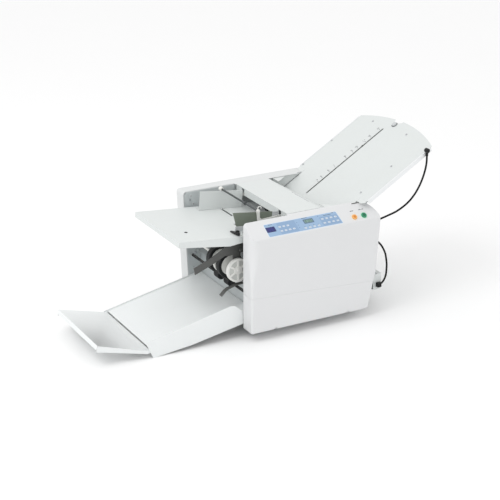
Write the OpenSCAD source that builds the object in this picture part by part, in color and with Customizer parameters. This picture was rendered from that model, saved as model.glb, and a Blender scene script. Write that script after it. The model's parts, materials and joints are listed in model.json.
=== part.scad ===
// Tabletop paper folding machine: friction feed table on the left, two buckle
// fold plates on the right and a stacker tray below the feed table.
// X runs with the paper from the stacker to the upper fold plate, Y from the
// control side to the drive side, Z up from the table top. The origin lies on
// the table top under the middle of the machine's outer box.

/* [Side covers] */
// Width over both side covers
machine_w = 510; // [490:5:540]
// Length of the control side cover
body_l = 521; // [505:1:540]
// Height of the side covers
cover_h = 391; // [385:1:400]
// Thickness of each side cover across the machine
cover_t = 60; // [56:1:66]
// Wall of the moulded covers
cover_wall = 3; // [2:0.5:4]
// How far the right end of a cover leans in towards its foot
cover_taper = 44; // [30:1:60]
// How far the drive side cover reaches past the control side cover on the left
far_reach = 34; // [20:1:38]
// Radius of the large upper right corner of the covers
corner_r = 62; // [50:1:70]
// Rounding of the upright outer edges of the covers
edge_r = 20; // [8:1:26]
// Rounding of the covers' lower and upper edges
soft_r = 7; // [4:1:9]
// Tilt of the control deck
deck_a = 40; // [36:1:44]
// Length of the control deck up its slope
deck_l = 70; // [66:1:74]

/* [Frame] */
// Thickness of the steel side frames
frame_t = 3; // [2:0.5:4]
// Height of the rubber feet
foot_h = 34; // [30:1:38]
// Radius of the rubber feet
foot_r = 16; // [12:1:20]
// Sheet thickness of the base pan and the panels
sheet_t = 2; // [1.5:0.5:2.5]
// Radius of the cross ties
tie_r = 6; // [5:0.5:8]
// Gap between neighbouring fixed pieces
fit_gap = 0.3; // [0.2:0.1:0.4]
// Running clearance round a shaft
run_gap = 0.05; // [0.03:0.01:0.08]

/* [Controls] */
// Distance from the panel film's right end to the stop button's centre
panel_gap = 58; // [50:1:70]
// Width of the control panel film
panel_w = 52; // [46:1:56]
// Thickness of the control panel film
panel_t = 0.8; // [0.5:0.1:1.2]
// Radius of the start and stop buttons
button_r = 10; // [8:0.5:12]
// Height of a button above the deck
button_h = 5; // [4:0.5:7]
// Travel of a button
button_travel = 3; // [2:0.5:4]
// Distance between the two buttons
button_pitch = 39; // [34:1:44]

/* [Feed table] */
// Distance from the feed table's inner end to the feed shaft
table_back = 42; // [38:1:48]
// Gap between the feed table and each side frame
table_gap = 16.2; // [12:0.2:20]
// Height of the table's left end above the feet
table_z = 390; // [384:1:394]
// Slope of the feed table down towards the body
table_a = 4.9; // [4:0.1:5.5]
// Reach of the feed table to the left of the body
table_reach = 232; // [220:1:240]
// Sheet thickness of the feed table
table_t = 2; // [1.5:0.5:3]
// Gap between each paper guide and the side frame beside it
guide_side = 64.7; // [63.7:0.5:71.7]
// Height of the paper guides at their left end
guide_h = 71; // [60:1:74]
// How much lower the paper guides are at their right end
guide_drop = 8; // [0:1:12]
// Length of the paper guides
guide_l = 174; // [160:1:176]
// Radius of the hold-down rod
rod_r = 3.5; // [3:0.5:4.5]
// Radius of the feed tyres
feed_r = 26; // [22:1:27]

/* [Fold rollers] */
// Distance between the axes of neighbouring fold rollers
roller_pitch = 38; // [36:1:40]
// Radius of the fold roller shafts
shaft_r = 7; // [6:0.5:8]
// Teeth on each roller gear
gear_teeth = 20; // [20:4:24]
// Width of a roller gear
gear_w = 10; // [8:1:11]
// Radius of the motor pulley
motor_pulley_r = 14; // [12:1:16]
// Radius of the driven pulley
drive_pulley_r = 28; // [24:1:30]
// Thickness of the belts
belt_t = 2; // [1.5:0.5:2.5]

/* [Upper fold plate] */
// Slope of the upper fold plate
plate1_a = 31; // [28:1:34]
// Length of the upper fold plate above the body
plate1_l = 372; // [340:1:400]
// Width of the upper fold plate
plate1_w = 466; // [450:1:480]
// Length of the plate's tongue down into the body
plate1_tongue = 112; // [104:1:116]
// Rise of the plate's curved end over its corners
plate1_crown = 46; // [30:1:52]
// Thickness of the fold plate sheets
plate_t = 1.5; // [1:0.1:1.6]
// Paper gap between the sheets of a fold plate
plate_gap = 2; // [1.8:0.1:2.6]
// Distance of the scale slot from the middle of the plate
slot_y = 59; // [50:1:66]
// Width of the scale slot
slot_w = 4; // [3:0.5:6]

/* [Lower fold plate] */
// Slope of the lower fold plate
plate2_a = 51.9; // [51:0.1:53]
// Length of the lower fold plate
plate2_l = 262; // [256:1:266]
// Gap between the lower fold plate and each side frame
plate2_side = 9.7; // [7.7:0.5:13.7]

/* [Stacker] */
// Reach of the tray to the left of the body
tray_reach = 346; // [320:1:360]
// Height of the tray floor at its left end
tray_z = 28; // [24:1:32]
// Slope of the tray floor
tray_a = 12; // [10:0.5:13]
// Height of the near fence above the tray floor
fence_h = 36; // [26:1:40]
// Gap between the tray and each side frame
tray_gap = 1.7; // [0.7:0.5:8.7]
// Sheet thickness of the tray
tray_t = 1.5; // [1.2:0.1:2]
// Length of the end flap
flap_l = 196; // [170:1:210]
// Slope of the end flap
flap_a = 16.5; // [12:0.5:20]
// Depth of the lip at the flap's free end
flap_lip = 13; // [8:1:18]
// Taper of the end flap on each side
flap_taper = 13; // [6:1:20]

/* [Delivery] */
// Radius of the spoked delivery wheels
wheel_r = 43; // [38:1:44]
// Radius of the delivery tyres
tyre_r = 48; // [42:1:50]
// Radius of the delivery shaft
exit_shaft_r = 5; // [4:0.5:6]

/* [Leads] */
// Diameter of the two motor leads
lead_d = 7; // [6:0.5:8]

/* [Hidden] */
$fn = 48;
half_w = machine_w/2;
inner_y = half_w - cover_t;
frame_y = inner_y - fit_gap;
pan_y = frame_y - frame_t;
top_z = foot_h + cover_h;
frame_top = top_z - 15;
frame_rise = top_z - 3.6;
frame_l = 2;
frame_r = body_l - 21;
deck_y = -half_w + 2;
deck_z = top_z - deck_l*sin(deck_a) - 1;
roller_r = roller_pitch/2 - fit_gap/2;
table_w = (pan_y - table_gap)*2;
guide_gap = (pan_y - guide_side)*2;
plate2_w = (pan_y - plate2_side)*2;
tray_w = (pan_y - tray_gap)*2;

// upper fold plate: where its top surface meets the body, and its layers
plate1_x = body_l - 56.4;
plate1_z = top_z + 3.4;
plate1_s0 = 12;
plate1_corner = plate1_l - plate1_crown;
plate1_low = plate_t*2 + plate_gap;
nip_gap = 16;

// places of the shafts in the side frames: [x, z]
function along(a, d) = d*[cos(a), sin(a)];
nip_p = [plate1_x, plate1_z] + along(plate1_a - 90, plate1_low/2)
    - along(plate1_a, plate1_tongue + nip_gap);
r1_a = plate1_a + 90;
r3_a = -10;
r4_a = -80;
r2_p = nip_p - along(r1_a, roller_pitch/2);
r1_p = r2_p + along(r1_a, roller_pitch);
r3_p = r2_p + along(r3_a, roller_pitch);
r4_p = r2_p + along(r4_a, roller_pitch);
feed_x = plate1_x - 224.6;
table_l = table_reach + feed_x - table_back;
function table_top(x) = table_z - (x + table_reach)*tan(table_a);
feed_p = [feed_x, table_top(feed_x) + feed_r + 0.5];
hood_x1 = feed_x + 72;
hood_x0 = hood_x1 - 134;
hold_p = [hood_x0 + 36, top_z - 21];
hood_p = [hood_x1 - 8, top_z - 23];
motor_p = [150, foot_h + 90];
arm_p = [110, foot_h + 266];
exit_p = [0, foot_h + 207];
exit_roller_r = 15;
lower_p = exit_p - [0, tyre_r + exit_roller_r + 0.4];

// top cover
hood_t = 3;
hood_y = pan_y - 8;

// upper fold plate, in its own slope
rail_t = 3.5;
rail_h = 14;
tongue_w = pan_y*2 - 8;
screw_z = -24;
screw1_s = -72;
stop1_s = 200;

// lower fold plate, in its own slope
plate2_x = r2_p[0] + 34;
plate2_z = r2_p[1] - 31;
stop2_s = 120;

// stacker
flap_x = -tray_reach - 6;
flap_z = tray_z - 5;
function tray_top(x) = tray_z + (x + tray_reach)*tan(tray_a);
pan_x0 = 28;

// the machine is drawn from the control side cover's left end and then
// moved so that the middle of its outer box is the origin
plate1_end_x = plate1_x + plate1_l*cos(plate1_a) + plate_t*sin(plate1_a);
flap_end_x = flap_x - flap_l*cos(flap_a) - flap_lip*sin(flap_a);
mid_x = (plate1_end_x + flap_end_x)/2;

// ---- frames of reference -------------------------------------------------

module body_frame() translate([-mid_x, 0, 0]) children();

module on_deck() body_frame() translate([0, deck_y, deck_z]) rotate([deck_a, 0, 0]) children();

module on_table() body_frame() translate([-table_reach, 0, table_z]) rotate([0, table_a, 0]) children();

module on_plate1() body_frame() translate([plate1_x, 0, plate1_z]) rotate([0, -plate1_a, 0]) children();

module on_plate2() body_frame() translate([plate2_x, 0, plate2_z]) rotate([0, plate2_a, 0]) children();

module on_flap() body_frame() translate([flap_x, 0, flap_z]) rotate([0, flap_a, 0]) children();

// ---- shared shapes -------------------------------------------------------

function arc(c, r, a0, a1, n = 6) =
    [for (i = [0:n]) let (a = a0 + (a1 - a0)*i/n) [c[0] + r*cos(a), c[1] + r*sin(a)]];

module rod_y(p, r, y0, y1) translate([p[0], y0, p[1]]) rotate([-90, 0, 0]) cylinder(r = r, h = y1 - y0);

module slab_y(points, y0, y1)
    translate([0, y1, 0]) rotate([90, 0, 0]) linear_extrude(height = y1 - y0) polygon(points);

module slab_x(points, x0, x1)
    translate([x0, 0, 0]) rotate([90, 0, 90]) linear_extrude(height = x1 - x0) polygon(points);

module block(lo, hi) translate(lo) cube(hi - lo);

// ---- side covers ---------------------------------------------------------

// side outline of a cover, drawn in by d; left is how far it reaches to -X
function cover_side(d, left) = concat(
    arc([-left*0.5 + soft_r, foot_h + soft_r], soft_r - d, 180, 270),
    arc([body_l - cover_taper - soft_r, foot_h + soft_r], soft_r - d, 270, 360),
    [[body_l - 13 - d, foot_h + 144]],
    arc([body_l - corner_r, top_z - corner_r], corner_r - d, 0, 90, 12),
    arc([-left + soft_r*2, top_z - soft_r*2], soft_r*2 - d, 90, 180));

// end outline of a cover: the outer wall is at -Y, the inner side is open
function deck_end(d) = concat(
    [[-inner_y + (d > 0 ? 1 : 0), foot_h + d]],
    arc([-half_w + soft_r, foot_h + soft_r], soft_r - d, 270, 180),
    [[-half_w + d, deck_z - 3 - d/2]],
    [[deck_y + d*0.7, deck_z - d*0.7]],
    [[deck_y + deck_l*cos(deck_a) + d*0.4, top_z - 1 - d]],
    [[-inner_y + (d > 0 ? 1 : 0), top_z - 1 - d]]);

function plain_end(d) = concat(
    [[-inner_y + (d > 0 ? 1 : 0), foot_h + d]],
    arc([-half_w + soft_r, foot_h + soft_r], soft_r - d, 270, 180),
    arc([-half_w + soft_r*2, top_z - soft_r*2], soft_r*2 - d, 180, 90),
    [[-inner_y + (d > 0 ? 1 : 0), top_z - d]]);

// plan of a cover: round upright edges on the outer side
function cover_plan(d, left) = concat(
    arc([-left + edge_r, -half_w + edge_r], edge_r - d, 180, 270),
    arc([body_l - edge_r, -half_w + edge_r], edge_r - d, 270, 360),
    [[body_l - d, -inner_y + (d > 0 ? 1 : 0)], [-left + d, -inner_y + (d > 0 ? 1 : 0)]]);

module cover_solid(d, left, deck) intersection() {
    slab_y(cover_side(d, left), -half_w, -inner_y + (d > 0 ? 1 : 0));
    slab_x(deck ? deck_end(d) : plain_end(d), -left, body_l);
    translate([0, 0, foot_h]) linear_extrude(height = cover_h) polygon(cover_plan(d, left));
}

// half-round cut in the lower edge of the near cover
module foot_notch(x)
    translate([x, -half_w - 1, foot_h]) rotate([-90, 0, 0]) cylinder(r = 7, h = cover_wall + 8);

// lip of a cover over the frame's top edge, beside the top cover
module cover_lip(z) block([hood_x0 - 4, -inner_y - 1, z - 1.8], [hood_x1 + 128, -hood_y - 0.6, z]);

button_x = body_l - 104;
button_u = 18;

module near_cover() color("gainsboro") difference() {
    body_frame() union() {
        difference() {
            cover_solid(0, 0, true);
            cover_solid(cover_wall, 0, true);
            for (x = [96, body_l - 129]) foot_notch(x);
        }
        cover_lip(top_z - 1);
    }
    for (i = [0, 1]) on_deck() translate([button_x + i*button_pitch, button_u, -12])
        cylinder(r = button_r, h = 20);
}

module far_cover() color("gainsboro") body_frame() mirror([0, 1, 0]) {
    difference() {
        cover_solid(0, far_reach, false);
        cover_solid(cover_wall, far_reach, false);
    }
    cover_lip(top_z);
}

// ---- frame ---------------------------------------------------------------

// the frame's top edge rises under the upper fold plate and carries it
function plate1_under(x) =
    plate1_z + (x - plate1_x)*tan(plate1_a) - plate1_low/cos(plate1_a) - fit_gap;
ear_x = plate1_x + plate1_s0 + 6;

module side_frame(left, lean) slab_y([[left + lean, foot_h + sheet_t], [frame_r - 40, foot_h + sheet_t],
    [frame_r - 12, foot_h + 140], [frame_r, foot_h + 240], [frame_r, plate1_under(frame_r)],
    [ear_x, plate1_under(ear_x)], [ear_x, frame_top - 12], [ear_x - 20, frame_top],
    [ear_x - 20, frame_rise], [left + 8, frame_rise], [left, frame_rise - 8]], -frame_y, -pan_y);

module frame_bores() {
    for (p = [r1_p, r2_p, r3_p, r4_p]) rod_y(p, shaft_r + run_gap, -frame_y - 1, -pan_y + 1);
    rod_y(feed_p, shaft_r + run_gap, -frame_y - 1, -pan_y + 1);
    for (p = [hold_p, hood_p]) rod_y(p, 4 + run_gap, -frame_y - 1, -pan_y + 1);
    for (p = [arm_p, lower_p]) rod_y(p, exit_shaft_r + run_gap, -frame_y - 1, -pan_y + 1);
}

module near_side_frame() color("silver") body_frame() difference() {
    side_frame(frame_l, 0);
    frame_bores();
}

module far_side_frame() color("silver") body_frame() mirror([0, 1, 0]) difference() {
    side_frame(cover_wall + 0.5 - far_reach, far_reach/2);
    frame_bores();
    rod_y(motor_p, 8, -frame_y - 1, -pan_y + 1);
}

module base_pan() color("silver") body_frame() {
    block([pan_x0, -pan_y + fit_gap, foot_h], [frame_r - sheet_t, pan_y - fit_gap, foot_h + sheet_t]);
    block([pan_x0, -pan_y + fit_gap, foot_h],
        [pan_x0 + sheet_t, pan_y - fit_gap, tray_top(pan_x0) - tray_t - fit_gap]);
    block([pan_x0 + sheet_t + 1.5, -pan_y + fit_gap, foot_h],
        [pan_x0 + sheet_t*2 + 1.5, pan_y - fit_gap, chute_z - 8]);
}

// window for the lower fold plate, at the rear panel
win_z = plate2_z - (frame_r - plate2_x)*tan(plate2_a);
socket_y = 26.7 - pan_y;
socket_z = [top_z - 163, top_z - 100];
inlet_p = [130, foot_h + 226];
rocker_p = [80, foot_h + 226];

// a block of the size y by z round the point p of the rear panel
module panel_block(p, y, z, x0, x1)
    block([x0, p[0] - y/2, p[1] - z/2], [x1, p[0] + y/2, p[1] + z/2]);

module rear_panel() color("gainsboro") body_frame() difference() {
    block([frame_r - sheet_t, -pan_y + fit_gap, foot_h], [frame_r, pan_y - fit_gap, frame_top - 6]);
    panel_block([0, win_z - 21], plate2_w + 8, 82, frame_r - sheet_t - 1, frame_r + 1);
    panel_block(inlet_p, 28, 22, frame_r - sheet_t - 1, frame_r + 1);
    panel_block(rocker_p, 16, 26, frame_r - sheet_t - 1, frame_r + 1);
}

tie_p = [[60, foot_h + 26], [frame_r - 60, foot_h + 110], [150, foot_h + 290], [frame_r - 45, foot_h + 310]];

module cross_ties() color("dimgray") body_frame()
    for (p = tie_p) rod_y(p, tie_r, -pan_y, pan_y);

foot_y = pan_y - 31.7;

module rubber_feet() color("black") body_frame() for (x = [60, frame_r - 60], y = [-foot_y, foot_y])
    translate([x, y, 0]) cylinder(r1 = foot_r - 2, r2 = foot_r, h = foot_h, $fn = 32);

// ---- controls ------------------------------------------------------------

panel_x = 67;
panel_l = button_x - panel_gap - panel_x;

module control_panel() color("lightsteelblue") on_deck()
    translate([panel_x, 3, 0]) cube([panel_l, panel_w, panel_t]);

// rows of small keys on the film, beside the two display windows
key_cols = [0.17, 0.22, 0.27, 0.32, 0.56, 0.61, 0.66, 0.71, 0.76, 0.82, 0.88, 0.94];

module panel_keys() color("whitesmoke") on_deck() {
    for (u = key_cols, v = [0.3, 0.66])
        translate([panel_x + panel_l*u - 4, 3 + panel_w*v - 3, panel_t]) cube([8, 6, 1]);
    translate([panel_x + panel_l*0.03, 3 + panel_w*0.3, panel_t]) cube([34, panel_w*0.5, 0.6]);
    translate([panel_x + panel_l*0.4, 3 + panel_w*0.45, panel_t]) cube([36, panel_w*0.4, 0.6]);
}

module push_button(i) on_deck() translate([button_x + i*button_pitch, button_u, -9]) {
    cylinder(r = button_r - fit_gap, h = 9 + button_h - 1);
    translate([0, 0, 9 + button_h - 1]) cylinder(r1 = button_r - fit_gap, r2 = button_r - fit_gap - 1, h = 1);
}

module stop_button() color("orange") push_button(0);

module start_button() color("seagreen") push_button(1);

board_y = -frame_y - 8;
board_x = [130, frame_r - 80];

module circuit_board() color("darkgreen") body_frame() {
    block([board_x[0], board_y, foot_h + 90], [board_x[1], board_y + 1.6, foot_h + 250]);
    for (x = [board_x[0] + 10, board_x[1] - 10], z = [foot_h + 100, foot_h + 240])
        rod_y([x, z], 3, board_y + 1.6, -frame_y);
    for (x = [board_x[0] + 30:60:board_x[1] - 20])
        block([x - 12, board_y - 9, foot_h + 130], [x + 12, board_y, foot_h + 150]);
    block([200, board_y - 6, foot_h + 180], [250, board_y, foot_h + 225]);
}

module power_supply() color("darkgray") body_frame()
    block([frame_r - 160, -150, foot_h + sheet_t], [frame_r - 30, -10, foot_h + sheet_t + 52]);

module mains_inlet() color("black") body_frame() {
    difference() {
        union() {
            panel_block(inlet_p, 27, 21, frame_r - 20, frame_r);
            panel_block(inlet_p, 34, 28, frame_r, frame_r + 2.5);
        }
        panel_block(inlet_p, 23, 16, frame_r - 15, frame_r + 4);
    }
    for (y = [-7, 0, 7]) panel_block(inlet_p + [y, 0], 2, 4, frame_r - 15, frame_r - 5);
    difference() {
        panel_block(rocker_p, 15.4, 25.4, frame_r - 14, frame_r + 2);
        panel_block(rocker_p, 12, 22, frame_r - 12, frame_r + 3);
        rod_y([frame_r - 4, rocker_p[1]], 1.5 + run_gap, rocker_p[0] - 7, rocker_p[0] + 7);
    }
}

rocker_a = 8;

module power_rocker() color("black") body_frame() translate([frame_r - 4, 0, rocker_p[1]]) {
    rod_y([0, 0], 1.5, rocker_p[0] - 6.9, rocker_p[0] + 6.9);
    rotate([0, rocker_a, 0]) difference() {
        block([-2, rocker_p[0] - 5.6, -9.6], [7, rocker_p[0] + 5.6, 9.6]);
        translate([40.4, rocker_p[0] + 6, 0]) rotate([90, 0, 0]) cylinder(r = 34, h = 12, $fn = 96);
    }
}

module lead_sockets() color("dimgray") body_frame() for (z = socket_z)
    translate([frame_r, socket_y, z]) rotate([0, 90, 0]) cylinder(r = 9, h = 14);

// ---- drive ---------------------------------------------------------------

gear_y = frame_y + 3;
feed_belt_y = gear_y + gear_w + 3;
main_belt_y = feed_belt_y + 14;
feed_pulley_r = 12;

// a gear at the angle a from roller 2's gear, turned so that their teeth mesh
function mesh_phase(a) = (2*a + 180)*gear_teeth/360 - 0.5;

module gear(phase) {
    m = roller_pitch/gear_teeth;
    r = roller_pitch/2;
    p = 360/gear_teeth;
    rotate([-90, 0, 0]) linear_extrude(height = gear_w) polygon([for (i = [0:gear_teeth - 1])
        for (q = [[-0.27, r - 1.2*m], [-0.1, r + 0.8*m], [0.1, r + 0.8*m], [0.27, r - 1.2*m]])
            let (a = (i + q[0])*p + phase*p) [q[1]*cos(a), -q[1]*sin(a)]]);
}

module fold_roller(p, phase, end_y) color("darkslategray") body_frame() {
    rod_y(p, roller_r, -pan_y + 12, pan_y - 12);
    rod_y(p, shaft_r, -frame_y - 4, end_y);
    translate([p[0], gear_y, p[1]]) gear(phase);
}

module fold_roller_1() {
    fold_roller(r1_p, mesh_phase(r1_a), feed_belt_y + 8);
    color("dimgray") body_frame() rod_y(r1_p, feed_pulley_r, feed_belt_y, feed_belt_y + 8);
}

module fold_roller_2() {
    fold_roller(r2_p, 0, main_belt_y + 12);
    color("dimgray") body_frame() rod_y(r2_p, drive_pulley_r, main_belt_y, main_belt_y + 12);
}

module fold_roller_3() fold_roller(r3_p, mesh_phase(r3_a), gear_y + gear_w);

module fold_roller_4() fold_roller(r4_p, mesh_phase(r4_a), gear_y + gear_w);

motor_r = 38;

module main_motor() color("dimgray") body_frame() difference() {
    union() {
        rod_y(motor_p, motor_r, 70, pan_y - 6);
        rod_y(motor_p, motor_r - 12, pan_y - 6, pan_y);
    }
    rod_y(motor_p, 5 + run_gap, pan_y - 40, pan_y + 1);
}

module motor_pulley() color("silver") body_frame() {
    rod_y(motor_p, 5, pan_y - 39, main_belt_y + 12);
    rod_y(motor_p, motor_pulley_r, main_belt_y, main_belt_y + 12);
}

// a belt round two pulleys: the straight runs touch both rims
module belt(a, ra, b, rb, y, w) difference() {
    translate([0, y + w, 0]) rotate([90, 0, 0]) linear_extrude(height = w) hull() {
        translate(a) circle(r = ra + fit_gap + belt_t);
        translate(b) circle(r = rb + fit_gap + belt_t);
    }
    translate([0, y + w + 1, 0]) rotate([90, 0, 0]) linear_extrude(height = w + 2) hull() {
        translate(a) circle(r = ra + fit_gap);
        translate(b) circle(r = rb + fit_gap);
    }
}

module drive_belts() color("black") body_frame() {
    belt(motor_p, motor_pulley_r, r2_p, drive_pulley_r, main_belt_y + 1, 10);
    belt(r1_p, feed_pulley_r, feed_p, feed_pulley_r, feed_belt_y + 1, 6);
}

// ---- top cover -----------------------------------------------------------

module top_cover() color("gainsboro") body_frame() {
    difference() {
        block([hood_x0, -hood_y, top_z - hood_t], [hood_x1, hood_y, top_z]);
        block([hood_x1 - 4, -108, top_z - hood_t - 1], [hood_x1 + 1, 6, top_z + 1]);
    }
    for (s = [-1, 1]) mirror([0, s < 0 ? 1 : 0, 0]) {
        slab_y([[hood_p[0] - 10, top_z - hood_t], [hood_p[0] - 8, hood_p[1] - 6],
            [hood_p[0] + 6, hood_p[1] - 6], [hood_x1, top_z - hood_t]], hood_y - 3, hood_y);
        rod_y(hood_p, 4, hood_y, frame_y);
    }
    difference() {
        block([hood_x0, -hood_y, top_z - 27], [hood_x0 + 2, hood_y, top_z - hood_t]);
        for (s = [-1, 1]) block([hood_x0 - 1, s*(hold_y + 2) - 9, top_z - 36],
            [hood_x0 + 3, s*(hold_y + 2) + 9, top_z - hood_t]);
    }
}

// fixed guard over the top roller, between the top cover and the upper fold
// plate; its side walls fill the corner between the body's top and the plate
guard_r = roller_r + 3;
guard_t = 1.5;
guard_x = r1_p[0] + guard_r*cos(134);
wall_top = top_z - 3;

function plate1_top(x) = plate1_z + (x - plate1_x)*tan(plate1_a);

module rear_guard() color("gainsboro") body_frame() {
    slab_y(concat(arc(r1_p, guard_r, 20, 134, 8), [[guard_x, top_z - 20], [guard_x + guard_t, top_z - 20]],
        arc(r1_p, guard_r + guard_t, 126, 20, 8)), -pan_y, pan_y);
    for (s = [0, 1]) mirror([0, s, 0]) {
        slab_y(concat(arc(r1_p, guard_r + guard_t/2, 28, 126, 6), [[guard_x + guard_t/2, top_z - 20],
            [guard_x + guard_t/2, wall_top], [452, wall_top], [374, plate1_top(374) + 1]]),
            -pan_y, -pan_y + sheet_t);
        translate([0, 0, wall_top - guard_t]) linear_extrude(height = guard_t)
            polygon([[guard_x + guard_t/2, -142.5], [guard_x + guard_t/2, -pan_y], [392, -pan_y]]);
    }
}

// ---- feed table and guides ----------------------------------------------

// the racks lie on both sides of a pinion below the table
rack_x = table_reach + 68;
pinion_teeth = 12;
rack_m = 2;
pinion_r = pinion_teeth*rack_m/2;
rack_z = -14;
rack_off = pinion_r + 1.1*rack_m + 4;

module guide_slot(s) translate([rack_x + s*rack_off - 5, s < 0 ? -guide_gap/2 - 6 : 42, -table_t - 1])
    cube([10, guide_gap/2 - 36, table_t + 2]);

// the sheet runs on under the feed tyres, round the separator pad
infeed_l = 64;
pad_s = (feed_x + table_reach)/cos(table_a);

module feed_table() color("gainsboro") {
    on_table() difference() {
        union() {
            translate([0, -table_w/2, -table_t]) cube([table_l, table_w, table_t]);
            translate([0, -table_w/2, -19]) cube([table_t, table_w, 19]);
            for (y = [-table_w/2, table_w/2 - table_t])
                slab_y([[0, -19], [196, -31], [245, -22], [table_l, -20], [table_l, 0], [0, 0]],
                    y, y + table_t);
            difference() {
                translate([table_l - 1, -table_w/2 + 8, -table_t]) cube([infeed_l, table_w - 16, table_t]);
                translate([pad_s - 17, -32, -table_t - 1]) cube([50, 64, table_t + 2]);
            }
            translate([rack_x, 0, -9]) cylinder(r = 7, h = 9 - table_t);
            translate([rack_x, 0, rack_z - 7]) cylinder(r = 3, h = 12 - table_t);
        }
        guide_slot(-1);
        guide_slot(1);
    }
}

module table_brackets() color("silver") body_frame() for (s = [0, 1]) mirror([0, s, 0])
    slab_y([[20, table_top(20) - 24], [180, table_top(180) - 24], [180, table_top(180) - 8],
        [20, table_top(20) - 8]], -pan_y, -table_w/2 - fit_gap);

guide_x = table_reach - 4;
guide_t = 2;

module rack(s) translate([rack_x + s*rack_off, 0, rack_z]) {
    translate([-4, s < 0 ? -guide_gap/2 - 4 : -16, -3]) cube([8, guide_gap/2 + 20, 6]);
    for (i = [-2:14]) translate([-s*4, s*(i + 0.5)*PI*rack_m, -3]) linear_extrude(height = 6)
        polygon([[0, -0.27*PI*rack_m], [-s*1.9*rack_m, -0.12*PI*rack_m],
            [-s*1.9*rack_m, 0.12*PI*rack_m], [0, 0.27*PI*rack_m]]);
}

// one guide: s is -1 on the control side and 1 on the drive side
module paper_guide(s) on_table() {
    mirror([0, s < 0 ? 1 : 0, 0]) {
        translate([guide_x, 0, 0.4])
            slab_y([[0, 0], [guide_l, 0], [guide_l, guide_h - guide_drop], [0, guide_h]],
                guide_gap/2, guide_gap/2 + guide_t);
        translate([guide_x, guide_gap/2, 0.4]) cube([guide_l - 40, 24, guide_t]);
    }
    translate([rack_x + s*rack_off - 3, s*(guide_gap/2 + 1) - 3, rack_z]) cube([6, 6, 1.4 - rack_z]);
    rack(s);
}

module near_guide() color("dimgray") difference() {
    paper_guide(-1);
    on_table() translate([lever_p[0], lever_p[1], -1]) cylinder(r = 3 + run_gap, h = 6);
}

module far_guide() color("gainsboro") paper_guide(1);

module guide_pinion() color("ivory") on_table() translate([rack_x, 0, rack_z - 3]) difference() {
    linear_extrude(height = 6) polygon([for (i = [0:pinion_teeth - 1])
        for (q = [[-0.27, pinion_r - 1.15*rack_m], [-0.1, pinion_r + 0.75*rack_m],
            [0.1, pinion_r + 0.75*rack_m], [0.27, pinion_r - 1.15*rack_m]])
            let (a = (i + q[0])*360/pinion_teeth) [q[1]*cos(a), q[1]*sin(a)]]);
    translate([0, 0, -1]) cylinder(r = 3 + run_gap, h = 8);
}

lever_p = [guide_x + 14, -guide_gap/2 - 12];

module guide_lever() color("black") on_table() translate([lever_p[0], lever_p[1], 0]) {
    translate([0, 0, 0.6]) cylinder(r = 3, h = 4);
    translate([0, 0, guide_t + 0.8]) cylinder(r = 6, h = 4);
    translate([-2.5, -34, guide_t + 2.8]) cube([5, 34, 3]);
}

rest_x = 92;
rest_h = guide_h - guide_drop*(rest_x + 4)/guide_l;
rest_p = [rest_x, table_top(rest_x) + (rest_h + 0.4 + rod_r)/cos(table_a + 2) + fit_gap];
hold_y = guide_gap/2 + 4;

module hold_down_arms() color("whitesmoke") body_frame()
    for (s = [0, 1]) mirror([0, s, 0]) difference() {
    union() {
        slab_y([[hold_p[0] + 8, hold_p[1] - 7], [hold_p[0] + 8, hold_p[1] + 6],
            [hold_p[0] - 12, hold_p[1] + 3], [rest_p[0] + 14, hold_p[1] - 2],
            [rest_p[0] + 6, hold_p[1] + 6], rest_p + [6, 3], rest_p + [1, 8], rest_p + [-7, 4],
            rest_p + [-6, -7], [rest_p[0] - 3, hold_p[1] - 5], [rest_p[0] + 5, hold_p[1] - 12],
            [hold_p[0] - 12, hold_p[1] - 7]], hold_y, hold_y + 4);
        rod_y(rest_p, s > 0 ? 5 : 8, hold_y + 4, hold_y + (s > 0 ? 8 : 14));
    }
    rod_y(hold_p, 4, hold_y - 1, hold_y + 5);
    rod_y(rest_p, rod_r, hold_y - 1, hold_y + 2);
}

module hold_down_rods() color("dimgray") body_frame() {
    rod_y(rest_p, rod_r, -hold_y - 2, hold_y + 2);
    rod_y(rest_p, rod_r + 2.5, -44, -36);
    rod_y(hold_p, 4, -frame_y, frame_y);
}

module feed_shaft() color("silver") body_frame() {
    rod_y(feed_p, shaft_r, -frame_y - 4, feed_belt_y + 8);
    rod_y(feed_p, feed_pulley_r, feed_belt_y, feed_belt_y + 8);
    rod_y(feed_p, feed_r - 8, -48, 48);
}

module feed_tyres() color("black") body_frame() for (y = [-45, -13, 19]) difference() {
    rod_y(feed_p, feed_r, y, y + 26);
    rod_y(feed_p, feed_r - 8, y - 1, y + 27);
}

module separator_pad() color("tan") body_frame() {
    block([feed_x - 14, -30, table_top(feed_x) - 8], [feed_x + 14, 30, table_top(feed_x) - 0.3]);
    block([feed_x - 5, -20, table_top(feed_x) - 30], [feed_x + 5, 20, table_top(feed_x) - 8]);
    block([feed_x - 6, -pan_y, table_top(feed_x) - 36], [feed_x + 6, pan_y, table_top(feed_x) - 30]);
}

// ---- delivery ------------------------------------------------------------

chute_x = 22;
chute_z = foot_h + 157;

module exit_chute() color("silver") body_frame()
    slab_y([[chute_x, chute_z - 1.5], [r4_p[0] - 21, r4_p[1] + 7], [r4_p[0] - 21, r4_p[1] + 8.5],
        [chute_x, chute_z]], -pan_y, pan_y);

arm_y = pan_y - 47.7;

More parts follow.
